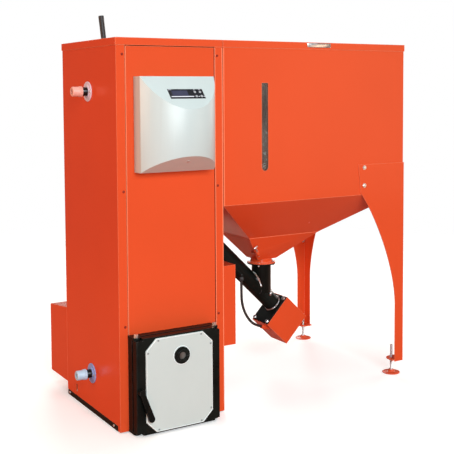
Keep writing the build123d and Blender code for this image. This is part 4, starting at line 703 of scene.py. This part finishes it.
# Bolt that holds the back leg to the hopper's stay, seen below the funnel
stay_bolt = Shape()
stay_bolt.stamp(hex_bolt(0.013, 0.006, 0.0016, 0.004), facing((1.1690, 0.484, 0.5085), FRONT, 20))
add_piece("stay_bolt", stay_bolt.finished("stay_bolt"), "zinc")

# Plain marks on the display's slanted face, measured along X and down the slant: a stripe under
# the panel and short ticks by the buttons
display_face = Matrix(((1, 0, 0, 0), (0, 0.68966, -0.72414, -0.324), (0, 0.72414, 0.68966, 1.3545),
                       (0, 0, 0, 1)))
marks = Shape()
for left, right, top, foot in ((-0.064, 0.032, 0.1030, 0.1070), (0.0505, 0.0575, 0.1038, 0.1062),
                               (0.0725, 0.0790, 0.1038, 0.1062), (0.0395, 0.0465, 0.0700, 0.0718),
                               (0.0615, 0.0685, 0.0700, 0.0718), (-0.066, -0.052, 0.0695, 0.0711)):
    round_end = (foot - top) * 0.35
    outline = [(left + round_end, -top), (left, -top - round_end), (left, -foot + round_end),
               (left + round_end, -foot), (right - round_end, -foot), (right, -foot + round_end),
               (right, -top - round_end), (right - round_end, -top)]
    marks.skin([[(x, y, height) for x, y in outline] for height in (-0.0001, 0.0002)], display_face)
add_piece("display_print", marks.finished("display_print"), "control_white",
          finish=finishes["print_white"])

# Wood dust that clings to the level window's inner face, in patches of coarse or fine flakes
pane_inside, pane_right = -0.2669, 0.4463
COARSE, FINE = 1.6, 0.8
dust = Shape()
for x, z, wide, tall, count, coarseness in (
        (0.4440, 1.1240, 0.003, 0.009, 9, COARSE), (0.4330, 1.0415, 0.008, 0.006, 16, COARSE),
        (0.4340, 1.0150, 0.008, 0.002, 8, FINE), (0.4330, 0.9790, 0.005, 0.003, 6, FINE),
        (0.4300, 1.0600, 0.009, 0.080, 14, FINE), (0.4300, 0.9900, 0.010, 0.012, 16, COARSE)):
    for _ in range(count):
        spot = (min(pane_right, x + random.gauss(0, wide * 0.5)), pane_inside,
                z + random.gauss(0, tall * 0.5))
        size = random.uniform(0.0006, 0.0022) * coarseness
        flake = [(size * random.uniform(0.5, 1.2) * math.cos(turn),
                  size * random.uniform(0.5, 1.2) * math.sin(turn)) for turn in turns(7)]
        dust.skin([[(a, b, 0.0) for a, b in flake], [(a * 0.6, b * 0.6, 0.0005) for a, b in flake]],
                  facing(spot, BACK, random.uniform(0, 360)))
add_piece("window_dust", dust.finished("window_dust"), "lining", finish=finishes["wood_dust"])


def louvre(hoods, gap_shadows, place, wide):
    """A pressed louvre: a hood that rises from the sheet, with a black strip under its lip as painted
    shade in the gap.
    """
    reach, tall, sheet = 0.0045, 0.011, 0.0008
    section = [(0.0, tall), (reach * 0.35, tall * 0.86), (reach * 0.75, tall * 0.5), (reach, 0.0006),
               (reach, 0.0), (reach - sheet, 0.0), (0.0, 0.0004)]
    stations = [(0.0, 0.08), (0.03, 0.45), (0.07, 0.8), (0.13, 1.0), (0.5, 1.0), (0.87, 1.0),
                (0.93, 0.8), (0.97, 0.45), (1.0, 0.08)]
    gap_end, gap_foot, gap_top, gap_thick = 0.42 * wide, -0.0022, 0.0002, 0.0004
    hoods.skin([[((along - 0.5) * wide, up, out * size) for out, up in section]
                for along, size in stations], place)
    gap_shadows.skin([[(-gap_end, gap_foot, height), (gap_end, gap_foot, height),
                (gap_end, gap_top, height), (-gap_end, gap_top, height)]
               for height in (0.0, gap_thick)], place)


def standing(spot, along, up, out):
    """The place of something drawn with X along a wall, Y up it and Z out of it."""
    return Matrix.Translation(spot) @ Matrix((along, up, out)).transposed().to_4x4()


# Louvres of the burner cover and of the motor cover's back, with the screws of both covers and of
# the rear box
MOTOR_COVER_BACK = 0.065
hoods, gap_shadows, cover_heads = Shape(), Shape(), Shape()
for row in range(6):
    spot = (BURNER_COVER_FACE, -0.042, 0.300 + row * 0.022)
    louvre(hoods, gap_shadows, standing(spot, BACK, UP, RIGHT), 0.110)
for row in range(4):
    spot = on_auger(0.126 + row * 0.026, MOTOR_DROP, MOTOR_COVER_BACK)
    louvre(hoods, gap_shadows, standing(spot, -auger_out, -auger_along, BACK), 0.100)
for y in (-0.119, 0.035):
    for z in (0.237, 0.550):
        set_head(cover_heads, small_head, (BURNER_COVER_FACE, y, z), RIGHT)
for x, z in ((-0.214, 0.070), (0.214, 0.070), (-0.214, 0.335), (0.214, 0.335), (-0.110, 0.070),
             (0.110, 0.070)):
    set_head(cover_heads, small_head, (x, REAR_BOX_BACK, z), BACK)
for across in (-0.095, 0.041):
    for along in (0.103, 0.227):
        set_head(cover_heads, plate_head, on_auger(along, across, MOTOR_COVER_BACK), BACK)
add_piece("cover_louvres", hoods.finished("cover_louvres"), "orange_coat")
# The black strips under the hoods are painted shade in the gaps, in the black rubber finish
add_piece("louvre_gap_shadows", gap_shadows.finished("louvre_gap_shadows"), "handle_black")
add_piece("cover_screws", cover_heads.finished("cover_screws"), "zinc")

# Flue spigot: a rolled bead near its mouth and a collar where it leaves the rear box
flue_trim = Shape()
spigot = Matrix.Translation((0.0, REAR_BOX_BACK, 0.205)) @ Matrix.Rotation(math.radians(-90), 4, "X")
rolled_bead = [(0.0648, 0.0560), (0.0665, 0.0568), (0.0678, 0.0590), (0.0678, 0.0610),
               (0.0665, 0.0632), (0.0648, 0.0640)]
collar = [(0.0648, 0.0), (0.0800, 0.0), (0.0800, 0.0014), (0.0700, 0.0020), (0.0668, 0.0038),
          (0.0664, 0.0100), (0.0648, 0.0104)]
for profile in (rolled_bead, collar):
    flue_trim.turned(profile, spigot, 64, closed=True)
add_piece("flue_trim", flue_trim.finished("flue_trim"), "raw_steel")

# Ribbed gland nut where the motor cable leaves the auger tube
gland = Shape()
ribs = [(0.0106 if step % 2 else 0.0114, turn) for step, turn in enumerate(turns(40))]
gland.skin([[(reach * size * math.cos(turn), reach * size * math.sin(turn), height)
             for reach, turn in ribs]
            for size, height in ((0.86, 0.4400), (1.0, 0.4416), (1.0, 0.4560), (0.9, 0.4576))],
           Matrix.Translation((0.533, 0.080, 0.0)))
add_piece("gland_nut", gland.finished("gland_nut"), "cable_black")


def studio_light(name, spot, aim, size, power, tint=(1.0, 1.0, 1.0)):
    """A soft rectangular lamp aimed at a point."""
    lamp = bpy.data.lights.new(name, "AREA")
    lamp.shape = "RECTANGLE"
    lamp.size, lamp.size_y = size
    lamp.energy = power
    lamp.color = tint
    holder = bpy.data.objects.new(name, lamp)
    holder.location = spot
    holder.rotation_euler = (Vector(aim) - Vector(spot)).to_track_quat("-Z", "Y").to_euler()
    scene.collection.objects.link(holder)


# Camera at the photograph's place
camera_data = bpy.data.cameras.new("camera")
camera_data.lens = 71.68
camera_data.sensor_width = 36.0
camera_data.shift_y = -0.175
camera = bpy.data.objects.new("camera", camera_data)
yaw, pitch, roll = math.radians(31.103), math.radians(3.537), math.radians(-0.334)
look = Vector((math.sin(yaw) * math.cos(pitch), math.cos(yaw) * math.cos(pitch), -math.sin(pitch)))
turned = look.to_track_quat("-Z", "Y").to_matrix() @ Matrix.Rotation(roll, 3, "Z")
camera.rotation_euler = turned.to_euler()
camera.location = (-1.6140, -3.3598, 1.2954)
scene.collection.objects.link(camera)
scene.camera = camera

# Pale floor that fades into the backdrop; the light it throws back on the sheets is warm and dim
floor_finish = Finish("studio floor", roughness=0.55)
reach = floor_finish.node("ShaderNodeVectorMath", {"operation": "LENGTH"},
                          {0: floor_finish.place}, output="Value")
seen = floor_finish.node("ShaderNodeLightPath", output="Is Camera Ray")
pale = floor_finish.blend(floor_finish.noise(3.0), (0.95, 0.96, 0.96), (0.97, 0.98, 0.98))
floor_finish.set(Base_Color=floor_finish.blend(seen, (0.56, 0.23, 0.15), pale),
                 Emission_Strength=0.26,
                 Emission_Color=floor_finish.blend(seen, (0.0, 0.0, 0.0), (0.97, 1.0, 1.0)),
                 Alpha=floor_finish.span(reach, 2.2, 5.0, start=1.0, end=0.0))
floor_mesh = bpy.data.meshes.new("studio_floor")
floor_mesh.from_pydata([(-9, -9, 0), (9, -9, 0), (9, 9, 0), (-9, 9, 0)], [], [(0, 1, 2, 3)])
floor_mesh.materials.append(floor_finish.material)
floor = bpy.data.objects.new("studio_floor", floor_mesh)
scene.collection.objects.link(floor)

# White backdrop, dim as a light, so that the lamps do the lighting
world = bpy.data.worlds.new("studio")
world.use_nodes = True
scene.world = world
backdrop = world.node_tree.nodes["Background"]
backdrop.inputs["Color"].default_value = (1.0, 1.0, 1.0, 1.0)
paths = world.node_tree.nodes.new("ShaderNodeLightPath")
dimmer = world.node_tree.nodes.new("ShaderNodeMapRange")
dimmer.inputs["To Min"].default_value = 0.12
dimmer.inputs["To Max"].default_value = 1.0
world.node_tree.links.new(paths.outputs["Is Camera Ray"], dimmer.inputs["Value"])
world.node_tree.links.new(dimmer.outputs[0], backdrop.inputs["Strength"])

# Lamps: key in front, warm card on the right, warm fill on the left, and back, side and top lamps
studio_light("key", (-0.9, -5.6, 2.5), (0.3, 0.0, 0.75), (3.2, 2.6), 335.0, (0.93, 1.0, 1.03))
studio_light("card", (4.4, -4.6, 1.5), (0.3, 0.0, 0.8), (2.6, 2.6), 46.0, (1.0, 0.66, 0.44))
studio_light("fill", (-5.0, 0.3, 2.2), (-0.2, 0.0, 0.8), (2.4, 2.4), 158.0, (1.0, 0.58, 0.38))
studio_light("back", (2.6, 5.2, 2.6), (0.4, 0.0, 0.7), (3.0, 2.4), 130.0, (1.0, 0.95, 0.9))
studio_light("side", (5.6, 0.9, 1.9), (0.5, 0.0, 0.7), (2.6, 2.2), 120.0, (1.0, 0.92, 0.86))
studio_light("top", (0.5, 0.0, 4.6), (0.4, 0.1, 0.8), (3.2, 3.2), 60.0)
scene.view_settings.view_transform = "Standard"

# Motor cable: from the gland under the auger tube down and round into the motor cover
cable_route = [(0.533, 0.080, 0.440), (0.533, 0.080, 0.390), (0.535, 0.080, 0.340),
               (0.548, 0.080, 0.296), (0.572, 0.080, 0.256), (0.604, 0.080, 0.226),
               (0.640, 0.080, 0.215)]
cable_curve = bpy.data.curves.new("motor_lead", "CURVE")
cable_curve.dimensions = "3D"
cable_line = cable_curve.splines.new("NURBS")
cable_line.points.add(len(cable_route) - 1)
for point, spot in zip(cable_line.points, cable_route):
    point.co = (*spot, 1.0)
cable_line.order_u = 3
cable_line.use_endpoint_u = True
cable_line.resolution_u = 16
cable_curve.bevel_depth = 0.006
cable_curve.bevel_resolution = 6
cable_curve.use_fill_caps = True
cable_curve.materials.append(finishes["cable_black"])
motor_lead = bpy.data.objects.new("motor_lead", cable_curve)
scene.collection.objects.link(motor_lead)
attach(motor_lead, "boiler")
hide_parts("motor_cable")
